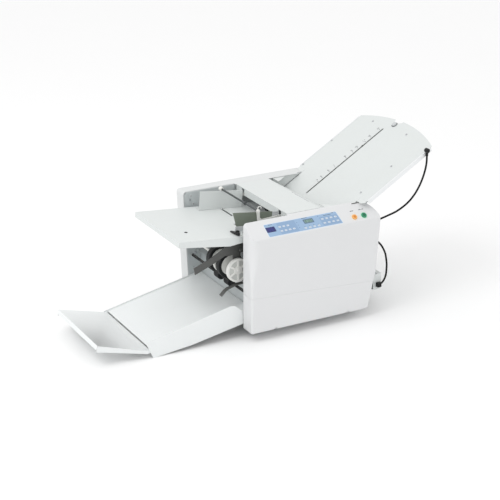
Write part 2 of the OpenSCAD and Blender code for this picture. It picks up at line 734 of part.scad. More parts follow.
// the arm on the control side runs on as a strip over the stack
module exit_arm(y, tip) difference() {
    slab_y(concat([[arm_p[0] + 9, arm_p[1] + 6], [60, foot_h + 288], [19, foot_h + 300],
        [-32, foot_h + 302]], tip, [[-44, foot_h + 264], [exit_p[0] - 14, foot_h + 262],
        [exit_p[0] - 11, exit_p[1] - 8], [exit_p[0] + 11, exit_p[1] - 8], [exit_p[0] + 16, foot_h + 266],
        [60, foot_h + 262], [arm_p[0] - 4, arm_p[1] - 9], [arm_p[0] + 9, arm_p[1] - 6]]), y - 2, y + 2);
    rod_y(exit_p, exit_shaft_r + run_gap, y - 3, y + 3);
}

module exit_arms() color("dimgray") body_frame() {
    exit_arm(-arm_y, [[-93, foot_h + 268], [-164, foot_h + 240], [-160, foot_h + 216], [-93, foot_h + 241]]);
    exit_arm(arm_y, []);
    rod_y(arm_p, exit_shaft_r, -frame_y, frame_y);
    block([44, -arm_y, foot_h + 272], [56, arm_y, foot_h + 284]);
    rod_y([16, foot_h + 276], 6, -arm_y - 12, -arm_y - 2);
}

tyre_y = [-104, -30];

module spoked_wheel(y) translate([exit_p[0], y, exit_p[1]]) rotate([-90, 0, 0]) difference() {
    cylinder(r = wheel_r, h = 11, $fn = 72);
    translate([0, 0, -1]) for (i = [0:5]) rotate(i*60) difference() {
        linear_extrude(height = 13)
            polygon(concat(arc([0, 0], wheel_r - 8, -24, 24, 8), [[15, 5], [15, -5]]));
        cylinder(r = 14, h = 13);
    }
}

module exit_wheels() color("whitesmoke") body_frame() {
    rod_y(exit_p, exit_shaft_r, -arm_y - 18, arm_y + 18);
    for (y = [-arm_y - 16, -62]) spoked_wheel(y);
    for (y = tyre_y) rod_y(exit_p, tyre_r - 12, y, y + 22);
}

module exit_tyres() color("black") body_frame() for (y = tyre_y) difference() {
    rod_y(exit_p, tyre_r, y, y + 22, $fn = 72);
    rod_y(exit_p, tyre_r - 12, y - 1, y + 23);
}

module lower_exit_roller() color("dimgray") body_frame() {
    rod_y(lower_p, exit_shaft_r, -frame_y, frame_y);
    for (y = [-110, -36]) rod_y(lower_p, exit_roller_r, y, y + 34);
}

module paper_finger() color("dimgray") body_frame() {
    slab_y([[chute_x, chute_z - 3.2], [chute_x, chute_z - 1.2], [-6, chute_z - 3], [-40, chute_z - 12],
        [-51, chute_z - 18], [-67, chute_z - 34], [-65, chute_z - 36], [-50, chute_z - 21],
        [-39, chute_z - 14], [-6, chute_z - 5]], -arm_y - 16, -arm_y + 2);
}

// ---- stacker -------------------------------------------------------------

tray_y = tray_w/2;
flap_pin_r = 3;

// the tray's sides reach the table top at their left ends
function skirt(top) = concat([[pan_x0 - 2, foot_h + 24], [-7, foot_h + 16], [-196, 15],
    [-tray_reach + 11, 0], [-tray_reach + 2, 0]], top);

tray_end = pan_x0 + 2;

module stacker_tray() color("gainsboro") body_frame() {
    slab_y([[-tray_reach, tray_top(-tray_reach)], [tray_end, tray_top(tray_end)],
        [tray_end, tray_top(tray_end) - tray_t], [-tray_reach, tray_top(-tray_reach) - tray_t]],
        -tray_y + tray_t, tray_y - tray_t);
    slab_y(skirt([[-tray_reach - 24, tray_top(-tray_reach - 24) + fence_h],
        [-46, tray_top(-46) + fence_h], [-29, tray_top(-29) + fence_h - 7], [-4, tray_top(-4) + 2],
        [pan_x0 - 2, tray_top(pan_x0 - 2) + 2]]), -tray_y, -tray_y + tray_t);
    slab_y(skirt([[-tray_reach - 16, tray_top(-tray_reach - 16) + 5],
        [pan_x0 - 2, tray_top(pan_x0 - 2) + 5]]), tray_y - tray_t, tray_y);
    for (s = [0, 1]) mirror([0, s, 0]) rod_y([flap_x, flap_z], flap_pin_r, tray_y - 8, tray_y - tray_t);
    slab_y([[pan_x0 - 4, tray_top(pan_x0 - 4) - tray_t], [pan_x0 - 2, tray_top(pan_x0 - 2) - tray_t],
        [pan_x0 - 2, foot_h + 40], [pan_x0 - 4, foot_h + 40]], -tray_y + tray_t, tray_y - tray_t);
}

flap_y = tray_y - 4;

// the flap: a sheet with turned-down sides that grow towards its free end
module flap_side() slab_y([[0, -4], [2, 2], [-flap_l + 2, 2], [-flap_l + 2, -20], [-8, -9]], -1.5, 0);

module end_flap() color("gainsboro") on_flap() difference() {
    union() {
        linear_extrude(height = 2) polygon([[1, -flap_y], [1, flap_y],
            [-flap_l + 2, flap_y - flap_taper], [-flap_l + 2, -flap_y + flap_taper]]);
        for (s = [0, 1]) mirror([0, s, 0]) {
            translate([0, -flap_y + 1.5, 0]) rotate([0, 0, -atan(flap_taper/flap_l)]) flap_side();
            rod_y([0, 0], 5, -flap_y, -flap_y + 8);
        }
        translate([-flap_l, -flap_y + flap_taper, -flap_lip])
            cube([2, (flap_y - flap_taper)*2, flap_lip + 3]);
    }
    for (s = [0, 1]) mirror([0, s, 0]) rod_y([0, 0], flap_pin_r + run_gap, -flap_y - 1, -flap_y + 9);
}

// ---- upper fold plate ----------------------------------------------------

// rounded free end of the plate from the near corner to the far corner
function plate1_end(w, back) = let (h = w/2, c = plate1_crown, r = (h*h + c*c)/(2*c), a = asin(h/r))
    [for (i = [-8:8]) [plate1_l - back - r + r*cos(a*i/8), r*sin(a*i/8)]];

plate1_inner = plate1_w/2 - rail_t;

function plate1_outline(w, s0, back) = concat(
    [[s0, tongue_w/2], [s0, -tongue_w/2], [plate1_s0, -tongue_w/2], [plate1_s0, -w/2]],
    plate1_end(w, back), [[plate1_s0, w/2], [plate1_s0, tongue_w/2]]);

latch_y = 30;

module plate1_top_sheet() color("gainsboro") on_plate1() difference() {
    translate([0, 0, -plate_t]) linear_extrude(height = plate_t)
        polygon(plate1_outline(plate1_inner*2, -plate1_tongue, 0));
    translate([-74, slot_y - slot_w/2, -plate_t - 1]) cube([386, slot_w, plate_t + 2]);
    translate([plate1_l + 12, latch_y, -plate_t - 1]) cylinder(r = 28, h = plate_t + 2);
}

module plate1_bottom_sheet() color("silver") on_plate1() {
    difference() {
        translate([0, 0, -plate1_low]) linear_extrude(height = plate_t)
            polygon(plate1_outline(plate1_inner*2, -plate1_tongue + 6, 6));
        translate([screw1_s + 12, -5, -plate1_low - 1]) cube([312 - screw1_s, 10, plate_t + 2]);
        translate([plate1_l + 8, latch_y, -plate1_low - 1]) cylinder(r = 28, h = plate_t + 2);
    }
    difference() {
        translate([screw1_s, -10, screw_z - 8]) cube([8, 20, -plate1_low - screw_z + 8]);
        translate([screw1_s - 1, 0, screw_z]) rotate([0, 90, 0]) cylinder(r = 3 + run_gap, h = 10);
    }
}

module plate1_rails() color("whitesmoke") on_plate1() {
    for (s = [0, 1]) mirror([0, s, 0])
        translate([plate1_s0 + 2, -plate1_w/2, -rail_h])
            cube([plate1_corner - plate1_s0 - 10, rail_t, rail_h + 1.5]);
    translate([plate1_l - 26, latch_y, 0]) cylinder(r = 8, h = 5);
}

// the stop bar runs between the sheets, its carriage on the screw below
module fold_stop(s, half, low, z) {
    translate([s, -half, -low/2 - 0.6]) cube([12, half*2, 1.2]);
    translate([s, -3.5, z + 6]) cube([12, 7, -low/2 - z - 6.4]);
    difference() {
        translate([s - 6, -10, z - 7]) cube([24, 20, 14]);
        translate([s - 7, 0, z]) rotate([0, 90, 0]) cylinder(r = 3 + run_gap, h = 26);
    }
}

module plate1_stop() color("dimgray") on_plate1() {
    fold_stop(stop1_s, 170, plate1_low, screw_z);
    color("orangered") translate([stop1_s + 4, slot_y - 1, -plate1_low/2])
        cube([4, 2, plate1_low/2 + 4]);
}

module plate1_lead_screw() color("silver") on_plate1()
    translate([screw1_s, 0, screw_z]) rotate([0, 90, 0]) cylinder(r = 3, h = 330 - screw1_s);

// ---- lower fold plate ----------------------------------------------------

plate2_low = plate_t*2 + plate_gap;

module plate2_top_sheet() color("silver") on_plate2()
    translate([0, -plate2_w/2 + 4, plate_gap/2]) cube([plate2_l, plate2_w - 8, plate_t]);

module plate2_bottom_sheet() color("silver") on_plate2() {
    difference() {
        translate([0, -plate2_w/2 + 4, -plate_gap/2 - plate_t]) cube([plate2_l, plate2_w - 8, plate_t]);
        translate([40, -5, -plate_gap/2 - plate_t - 1]) cube([190, 10, plate_t + 2]);
    }
    difference() {
        translate([26, -10, -26]) cube([8, 20, 26 - plate_gap/2 - plate_t]);
        translate([25, 0, -18]) rotate([0, 90, 0]) cylinder(r = 3 + run_gap, h = 10);
    }
}

// the lower plate's end stands in a housing open towards the body
end_x = plate2_x + plate2_l*cos(plate2_a) + 16.3;
end_z = plate2_z - plate2_l*sin(plate2_a) + 21.1;

module end_outline(x0, x1) slab_y([[end_x - 33, end_z - 62], [end_x, end_z - 62], [end_x, end_z],
    [end_x - 18, end_z], [end_x - 33, end_z - 10]], x0, x1);

module plate2_rails() color("gainsboro") {
    on_plate2() for (s = [0, 1]) mirror([0, s, 0])
        translate([10, -plate2_w/2, -8]) cube([plate2_l - 8, 4, 16]);
    body_frame() {
        slab_y([[end_x - 33, end_z - 62], [end_x, end_z - 62], [end_x, end_z], [end_x - 18, end_z],
            [end_x - 18, end_z - 2], [end_x - 2, end_z - 2], [end_x - 2, end_z - 60],
            [end_x - 33, end_z - 60]], -plate2_w/2, plate2_w/2);
        for (s = [0, 1]) mirror([0, s, 0]) end_outline(-plate2_w/2 - 2, -plate2_w/2);
    }
}

module plate2_stop() color("dimgray") on_plate2() translate([0, 0, plate2_low/2])
    fold_stop(stop2_s, 160, plate2_low, -18 - plate2_low/2);

module plate2_lead_screw() color("silver") on_plate2()
    translate([26, 0, -18]) rotate([0, 90, 0]) cylinder(r = 3, h = 216);

module stop_motors() color("black") {
    on_plate1() difference() {
        translate([320, -18, screw_z - 18]) cube([26, 36, -plate1_low - screw_z + 18]);
        translate([319, 0, screw_z]) rotate([0, 90, 0]) cylinder(r = 3 + run_gap, h = 12);
    }
    on_plate2() difference() {
        translate([232, -15, -33]) cube([22, 30, 33 - plate_gap/2 - plate_t]);
        translate([231, 0, -18]) rotate([0, 90, 0]) cylinder(r = 3 + run_gap, h = 12);
    }
}

// ---- leads ---------------------------------------------------------------

conn1_p = [plate1_x + 252, plate1_z + 159];

module lead_connectors() color("black") body_frame() {
    rod_y(conn1_p, 8, -plate1_w/2 - 14, -plate1_w/2);
    translate([conn1_p[0], -plate1_w/2 - 7, conn1_p[1] - 20]) cylinder(r = 5, h = 20);
    block([end_x - 22, -plate2_w/2 - 16, end_z - 50], [end_x - 6, -plate2_w/2 - 2, end_z - 34]);
}

function unit(v) = v/norm(v);

// a point of a smooth curve through the route's points
function smooth(p, i, t) =
    let (a = p[max(i - 1, 0)], b = p[i], c = p[i + 1], d = p[min(i + 2, len(p) - 1)])
    0.5*(2*b + (c - a)*t + (2*a - 5*b + 4*c - d)*t*t + (3*b - a - 3*c + d)*t*t*t);

function sampled(p, n) =
    concat([for (i = [0:len(p) - 2], k = [0:n - 1]) smooth(p, i, k/n)], [p[len(p) - 1]]);

// a tube of eight sides swept along the points, its frame carried from ring to ring
module tube(p, d) {
    n = len(p);
    t = [for (i = [0:n - 1]) unit(p[min(i + 1, n - 1)] - p[max(i - 1, 0)])];
    u = [for (i = 0, w = unit(cross(t[0], [0.3, 1, 0.2])); i < n;
        i = i + 1, w = i < n ? unit(w - (w*t[i])*t[i]) : w) w];
    rings = [for (i = [0:n - 1], k = [0:7]) p[i] + d/2*(u[i]*cos(k*45) + cross(t[i], u[i])*sin(k*45))];
    faces = concat([[for (k = [7:-1:0]) k]],
        [for (i = [0:n - 2], k = [0:7]) [i*8 + k, i*8 + (k + 1)%8, (i + 1)*8 + (k + 1)%8]],
        [for (i = [0:n - 2], k = [0:7]) [i*8 + k, (i + 1)*8 + (k + 1)%8, (i + 1)*8 + k]],
        [[for (k = [0:7]) (n - 1)*8 + k]]);
    polyhedron(rings, faces, convexity = 4);
}

// routes of the leads from the sockets on the rear panel to the connectors
upper_route = [[514, -165, 325], [526, -165, 325], [546, -165, 326], [568, -166, 329],
    [590, -169, 335], [612, -174, 343], [633, -183, 354], [653, -193, 370], [670, -203, 389],
    [683, -212, 410], [693, -221, 434], [702, -229, 462], [709, -235, 491], [714, -239, 519],
    [717, -240, 544], [717, -240, 567]];
lower_route = [[514, -165, 262], [525, -165, 262], [538, -165, 260], [551, -165, 256],
    [564, -165, 249], [576, -165, 239], [587, -166, 226], [596, -168, 210], [603, -170, 192],
    [606, -172, 173], [607, -175, 154], [605, -178, 136], [601, -182, 120], [594, -186, 106],
    [584, -189, 95], [572, -191, 87]];

upper_end = [conn1_p[0] + 0.4, -plate1_w/2 - 7, conn1_p[1] - 20.4];
lower_end = [end_x - 6, -plate2_w/2 - 9, end_z - 41];

// a route with its two ends laid on the points a and b
function tied(p, a, b) = let (n = len(p) - 1)
    [for (i = [0:n]) p[i] + (a - p[0])*(1 - i/n) + (b - p[n])*i/n];

module upper_lead() color("black") body_frame()
    tube(sampled(tied(upper_route, [frame_r + 14, socket_y, socket_z[1]], upper_end), 2), lead_d);

module lower_lead() color("black") body_frame()
    tube(sampled(tied(lower_route, [frame_r + 14, socket_y, socket_z[0]], lower_end), 2), lead_d);

// ---- fasteners -----------------------------------------------------------

module panel_screws() color("dimgray") {
    on_plate1() for (p = [[322, 143], [328, -70], [171, 224], [25, 224], [181, -163], [32, -165]])
        translate([p[0], p[1], 0]) cylinder(r = 3.5, h = 1.8, $fn = 24);
    body_frame() for (p = [[-8, top_z - 32], [8, foot_h + 150], [20, foot_h + 290], [4, foot_h + 92]])
        rod_y(p, 4, pan_y - 1.8, pan_y);
}

near_cover();
far_cover();
near_side_frame();
far_side_frame();
base_pan();
rear_panel();
cross_ties();
rubber_feet();
control_panel();
panel_keys();
start_button();
stop_button();
circuit_board();
power_supply();
main_motor();
motor_pulley();
drive_belts();
mains_inlet();
power_rocker();
lead_sockets();
top_cover();
rear_guard();
feed_table();
table_brackets();
near_guide();
far_guide();
guide_pinion();
guide_lever();
hold_down_arms();
hold_down_rods();
feed_shaft();
feed_tyres();
separator_pad();
fold_roller_1();
fold_roller_2();
fold_roller_3();
fold_roller_4();
exit_chute();
exit_arms();
exit_wheels();
exit_tyres();
lower_exit_roller();
paper_finger();
stacker_tray();
end_flap();
plate1_top_sheet();
plate1_bottom_sheet();
plate1_rails();
plate1_stop();
plate1_lead_screw();
plate2_top_sheet();
plate2_bottom_sheet();
plate2_rails();
plate2_stop();
plate2_lead_screw();
stop_motors();
lead_connectors();
upper_lead();
lower_lead();
panel_screws();
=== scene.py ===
import json
import math
import bpy
import bmesh
import numpy as np
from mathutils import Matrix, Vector

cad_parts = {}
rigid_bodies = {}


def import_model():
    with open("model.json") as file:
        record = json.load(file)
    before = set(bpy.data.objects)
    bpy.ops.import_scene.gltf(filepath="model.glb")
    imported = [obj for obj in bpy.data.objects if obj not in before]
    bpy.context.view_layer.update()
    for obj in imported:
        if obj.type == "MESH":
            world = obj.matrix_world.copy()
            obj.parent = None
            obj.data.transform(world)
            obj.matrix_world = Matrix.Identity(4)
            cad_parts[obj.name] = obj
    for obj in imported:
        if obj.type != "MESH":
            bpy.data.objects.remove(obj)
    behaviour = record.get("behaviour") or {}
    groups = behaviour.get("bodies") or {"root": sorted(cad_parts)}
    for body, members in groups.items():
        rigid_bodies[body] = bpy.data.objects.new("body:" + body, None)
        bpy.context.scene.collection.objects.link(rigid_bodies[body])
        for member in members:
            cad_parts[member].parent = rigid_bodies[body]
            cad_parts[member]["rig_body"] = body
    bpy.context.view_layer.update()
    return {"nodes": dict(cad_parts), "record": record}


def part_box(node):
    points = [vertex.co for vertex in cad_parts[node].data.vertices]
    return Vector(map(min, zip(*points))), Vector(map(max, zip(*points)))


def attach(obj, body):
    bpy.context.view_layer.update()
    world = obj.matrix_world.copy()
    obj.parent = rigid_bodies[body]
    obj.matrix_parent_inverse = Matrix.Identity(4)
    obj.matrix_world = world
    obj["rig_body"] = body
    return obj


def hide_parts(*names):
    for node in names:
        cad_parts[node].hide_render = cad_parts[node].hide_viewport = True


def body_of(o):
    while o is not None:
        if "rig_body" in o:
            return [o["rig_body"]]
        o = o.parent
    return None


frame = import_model()

# body millimetres run from the control side cover's left end, and the row
# frame lies this far from it
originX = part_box("near_cover")[0].x


def metres(points):
    p = np.asarray(points, float) / 1000
    return p + np.array([originX, 0, 0])


# a sloping sheet's own frame: s along it, y across, t off its upper face;
# a positive slope falls towards +X
def slope(x, z, degrees):
    c, n = math.cos(math.radians(degrees)), math.sin(math.radians(degrees))

    def place(points):
        p = np.asarray(points, float)
        s, y, t = p[..., 0], p[..., 1], p[..., 2]
        return metres(np.stack([x + s * c + t * n, y, z - s * n + t * c], -1))
    return place


onTable = slope(-232, 390, 4.9)
onUpper = slope(464.6, 428.4, -31)
deck = dict(y=-253, z=379, tilt=40)


# the control deck's frame: x along the machine, u up the deck, w off it
def onDeck(points):
    p = np.asarray(points, float)
    c, n = math.cos(math.radians(deck["tilt"])), math.sin(math.radians(deck["tilt"]))
    x, u, w = p[..., 0], p[..., 1], p[..., 2]
    return metres(np.stack([x, deck["y"] + u * c - w * n, deck["z"] + u * n + w * c], -1))


view = dict(lens=101.71, place=(-2.2617, -4.1298, 2.0732), along=(0.4496, 0.8162, -0.3629))
cameraData = bpy.data.cameras.new("camera")
cameraData.lens = view["lens"]
cameraData.sensor_width = 36
cameraData.clip_end = 40
camera = bpy.data.objects.new("camera", cameraData)
bpy.context.collection.objects.link(camera)
camera.location = view["place"]
camera.rotation_euler = Vector(view["along"]).to_track_quat("-Z", "Y").to_euler()
bpy.context.scene.camera = camera


def addNode(tree, kind, values=None, **settings):
    node = tree.nodes.new(kind)
    for key, value in settings.items():
        setattr(node, key, value)
    for key, value in (values or {}).items():
        node.inputs[key].default_value = value
    return node


def link(tree, source, target):
    tree.links.new(source, target)


def makeGroup(name, inputs, outputs):
    group = bpy.data.node_groups.new(name, "ShaderNodeTree")
    for label, kind, value in inputs:
        made = group.interface.new_socket(name=label, in_out="INPUT", socket_type=kind)
        if value is not None:
            made.default_value = value
    for label, kind in outputs:
        group.interface.new_socket(name=label, in_out="OUTPUT", socket_type=kind)
    return group, group.nodes.new("NodeGroupInput"), group.nodes.new("NodeGroupOutput")


def mathNode(tree, operation, a, b):
    node = addNode(tree, "ShaderNodeMath", operation=operation)
    for index, value in enumerate((a, b)):
        if isinstance(value, (int, float)):
            node.inputs[index].default_value = value
        else:
            link(tree, value, node.inputs[index])
    return node.outputs[0]


# a smooth step of the value from low to high, as 0 to 1
def stepNode(tree, value, low, high):
    node = addNode(tree, "ShaderNodeMapRange", {"From Min": low, "From Max": high},
                   interpolation_type="SMOOTHSTEP")
    link(tree, value, node.inputs["Value"])
    return node.outputs["Result"]


def mixColour(tree, factor, a, b, blend="MIX"):
    node = addNode(tree, "ShaderNodeMix", data_type="RGBA", blend_type=blend)
    for index, value in ((0, factor), (6, a), (7, b)):
        if isinstance(value, (int, float, tuple)):
            node.inputs[index].default_value = value
        else:
            link(tree, value, node.inputs[index])
    return node.outputs[2]


def objectCoordinates(tree):
    return tree.nodes.new("ShaderNodeTexCoord").outputs["Object"]


# noise over the piece's own coordinates; size is a socket that sets its scale
def noiseNode(tree, values, size=None):
    noise = addNode(tree, "ShaderNodeTexNoise", values)
    link(tree, objectCoordinates(tree), noise.inputs["Vector"])
    if size is not None:
        link(tree, size, noise.inputs["Scale"])
    return noise.outputs["Fac"]


# sRGB 0 to 255 as a linear colour
def tone(r, g, b):
    def linear(v):
        v = v / 255
        return v / 12.92 if v <= 0.04045 else ((v + 0.055) / 1.055) ** 2.4
    return (linear(r), linear(g), linear(b), 1)


# fine moulded or sprayed grain: two sizes of noise as one normal
def makeGrain():
    inputs = [("Size", "NodeSocketFloat", 900.0), ("Height", "NodeSocketFloat", 0.05)]
    group, start, end = makeGroup("grain", inputs, [("Normal", "NodeSocketVector")])
    size = start.outputs["Size"]
    fine = noiseNode(group, {"Detail": 3.0, "Roughness": 0.6}, size)
    broad = noiseNode(group, {"Detail": 1.0}, mathNode(group, "MULTIPLY", size, 0.22))
    height = mathNode(group, "ADD", fine, mathNode(group, "MULTIPLY", broad, 0.6))
    bump = addNode(group, "ShaderNodeBump", {"Distance": 0.0004})
    link(group, start.outputs["Height"], bump.inputs["Strength"])
    link(group, height, bump.inputs["Height"])
    link(group, bump.outputs["Normal"], end.inputs["Normal"])
    return group


# slow drift of a colour's value over the piece
def makeDrift():
    inputs = [("Colour", "NodeSocketColor", None), ("Amount", "NodeSocketFloat", 0.03),
              ("Size", "NodeSocketFloat", 5.0)]
    group, start, end = makeGroup("drift", inputs, [("Colour", "NodeSocketColor")])
    noise = noiseNode(group, {"Detail": 4.0, "Roughness": 0.55}, start.outputs["Size"])
    swing = mathNode(group, "SUBTRACT", noise, 0.5)
    value = mathNode(group, "ADD", 1.0, mathNode(group, "MULTIPLY", swing, start.outputs["Amount"]))
    shift = addNode(group, "ShaderNodeHueSaturation")
    link(group, start.outputs["Colour"], shift.inputs["Color"])
    link(group, value, shift.inputs["Value"])
    link(group, shift.outputs["Color"], end.inputs["Colour"])
    return group


# edges show where the rounded normal leaves the true one, broken by noise
def makeEdges():
    group, start, end = makeGroup("edges", [("Width", "NodeSocketFloat", 0.0015),
        ("Break", "NodeSocketFloat", 160.0)], [("Mask", "NodeSocketFloat")])
    bevel = addNode(group, "ShaderNodeBevel", samples=4)
    link(group, start.outputs["Width"], bevel.inputs["Radius"])
    true = group.nodes.new("ShaderNodeNewGeometry")
    dot = addNode(group, "ShaderNodeVectorMath", operation="DOT_PRODUCT")
    link(group, bevel.outputs["Normal"], dot.inputs[0])
    link(group, true.outputs["Normal"], dot.inputs[1])
    edge = stepNode(group, mathNode(group, "SUBTRACT", 1.0, dot.outputs["Value"]), 0.02, 0.18)
    broken = stepNode(group, noiseNode(group, {"Detail": 4.0}, start.outputs["Break"]), 0.42, 0.62)
    link(group, mathNode(group, "MULTIPLY", edge, broken), end.inputs["Mask"])
    return group


# dust that lies on faces turned up, thicker in patches
def makeDust():
    inputs = [("Amount", "NodeSocketFloat", 0.2)]
    group, start, end = makeGroup("dust", inputs, [("Mask", "NodeSocketFloat")])
    geometry = group.nodes.new("ShaderNodeNewGeometry")
    split = group.nodes.new("ShaderNodeSeparateXYZ")
    link(group, geometry.outputs["Normal"], split.inputs[0])
    up = stepNode(group, split.outputs["Z"], 0.35, 0.95)
    patches = stepNode(group, noiseNode(group, {"Scale": 14.0, "Detail": 8.0, "Roughness": 0.7}), 0.35, 0.75)
    mask = mathNode(group, "MULTIPLY", mathNode(group, "MULTIPLY", up, patches), start.outputs["Amount"])
    link(group, mask, end.inputs["Mask"])
    return group


# lines drawn along one direction of the piece, as brushing or turning leaves
def makeDrawn():
    group, start, end = makeGroup("drawn", [("Stretch", "NodeSocketVector", (8.0, 900.0, 900.0)),
        ("Height", "NodeSocketFloat", 0.05)], [("Normal", "NodeSocketVector"), ("Line", "NodeSocketFloat")])
    scale = addNode(group, "ShaderNodeVectorMath", operation="MULTIPLY")
    link(group, objectCoordinates(group), scale.inputs[0])
    link(group, start.outputs["Stretch"], scale.inputs[1])
    noise = addNode(group, "ShaderNodeTexNoise", {"Scale": 1.0, "Detail": 3.0, "Roughness": 0.65})
    link(group, scale.outputs[0], noise.inputs["Vector"])
    bump = addNode(group, "ShaderNodeBump", {"Distance": 0.0003})
    link(group, start.outputs["Height"], bump.inputs["Strength"])
    link(group, noise.outputs["Fac"], bump.inputs["Height"])
    link(group, bump.outputs["Normal"], end.inputs["Normal"])
    link(group, noise.outputs["Fac"], end.inputs["Line"])
    return group


effects = dict(grain=makeGrain(), drift=makeDrift(), edges=makeEdges(), dust=makeDust(), drawn=makeDrawn())


def useEffect(tree, name, values):
    return addNode(tree, "ShaderNodeGroup", values, node_tree=effects[name])


def startMaterial(name, roughness, metallic=0.0, specular=0.5, coat=0.0):
    made = bpy.data.materials.new(name)
    made.use_nodes = True
    shader = made.node_tree.nodes["Principled BSDF"]
    values = {"Roughness": roughness, "Metallic": metallic, "Specular IOR Level": specular,
              "Coat Weight": coat, "Coat Roughness": 0.12}
    for key, value in values.items():
        shader.inputs[key].default_value = value
    return made, made.node_tree, shader


# roughness as a middle value and how far the noise moves it
def varyRoughness(tree, shader, middle, swing, size):
    noise = noiseNode(tree, {"Scale": size, "Detail": 5.0, "Roughness": 0.6})
    spread = addNode(tree, "ShaderNodeMapRange", {"From Min": 0.3, "From Max": 0.7, "To Min": middle - swing,
                                                  "To Max": middle + swing})
    link(tree, noise, spread.inputs["Value"])
    link(tree, spread.outputs["Result"], shader.inputs["Roughness"])


dustTone = tone(200, 196, 188)


# a material of the usual layers: drifting colour, grain, worn edges, dust
def layered(name, colour, roughness, grain=(900.0, 0.05), drift=(0.05, 6.0), worn=None, dust=0.12,
            wearWidth=0.0012, metallic=0.0, specular=0.5, coat=0.0, sway=0.06):
    made, tree, shader = startMaterial(name, roughness, metallic, specular, coat)
    drifting = useEffect(tree, "drift", {"Colour": colour, "Amount": drift[0], "Size": drift[1]})
    result = drifting.outputs["Colour"]
    if worn:
        edge = useEffect(tree, "edges", {"Width": wearWidth})
        result = mixColour(tree, edge.outputs["Mask"], result, worn)
    if dust:
        settled = useEffect(tree, "dust", {"Amount": dust})
        result = mixColour(tree, settled.outputs["Mask"], result, dustTone)
    link(tree, result, shader.inputs["Base Color"])
    surface = useEffect(tree, "grain", {"Size": grain[0], "Height": grain[1]})
    link(tree, surface.outputs["Normal"], shader.inputs["Normal"])
    varyRoughness(tree, shader, roughness, sway, 22.0)
    return made


# bare steel: drawn lines in the normal and the tone over a drifting colour
def bareSteel(name, colour, roughness, stretch, height):
    made, tree, shader = startMaterial(name, roughness, 1.0)
    drifting = useEffect(tree, "drift", {"Colour": colour, "Amount": 0.16, "Size": 9.0})
    lines = useEffect(tree, "drawn", {"Stretch": stretch, "Height": height})
    dark = tuple(v * 0.72 for v in colour[:3]) + (1,)
    streak = stepNode(tree, lines.outputs["Line"], 0.35, 0.7)
    result = mixColour(tree, mathNode(tree, "MULTIPLY", streak, 0.35), drifting.outputs["Colour"], dark)
    link(tree, result, shader.inputs["Base Color"])
    link(tree, lines.outputs["Normal"], shader.inputs["Normal"])
    varyRoughness(tree, shader, roughness, 0.1, 30.0)
    return made


# the near cover's faint moulding line, as a step of height across the front
def coverPlastic(name, colour, crease=None):
    made = layered(name, colour, 0.46, (1100.0, 0.07), (0.03, 4.0), dust=0.05)
    if not crease:
        return made
    tree = made.node_tree
    shader = tree.nodes["Principled BSDF"]
    split = tree.nodes.new("ShaderNodeSeparateXYZ")
    link(tree, objectCoordinates(tree), split.inputs[0])
    low, high = crease
    rise = (high[1] - low[1]) / (high[0] - low[0])
    line = mathNode(tree, "MULTIPLY", mathNode(tree, "SUBTRACT", split.outputs["X"], low[0]), rise)
    above = mathNode(tree, "SUBTRACT", split.outputs["Z"], mathNode(tree, "ADD", line, low[1]))
    height = stepNode(tree, above, -0.003, 0.003)
    bump = addNode(tree, "ShaderNodeBump", {"Distance": 0.0012, "Strength": 1.0})
    link(tree, height, bump.inputs["Height"])
    link(tree, shader.inputs["Normal"].links[0].from_socket, bump.inputs["Normal"])
    link(tree, bump.outputs["Normal"], shader.inputs["Normal"])
    return made


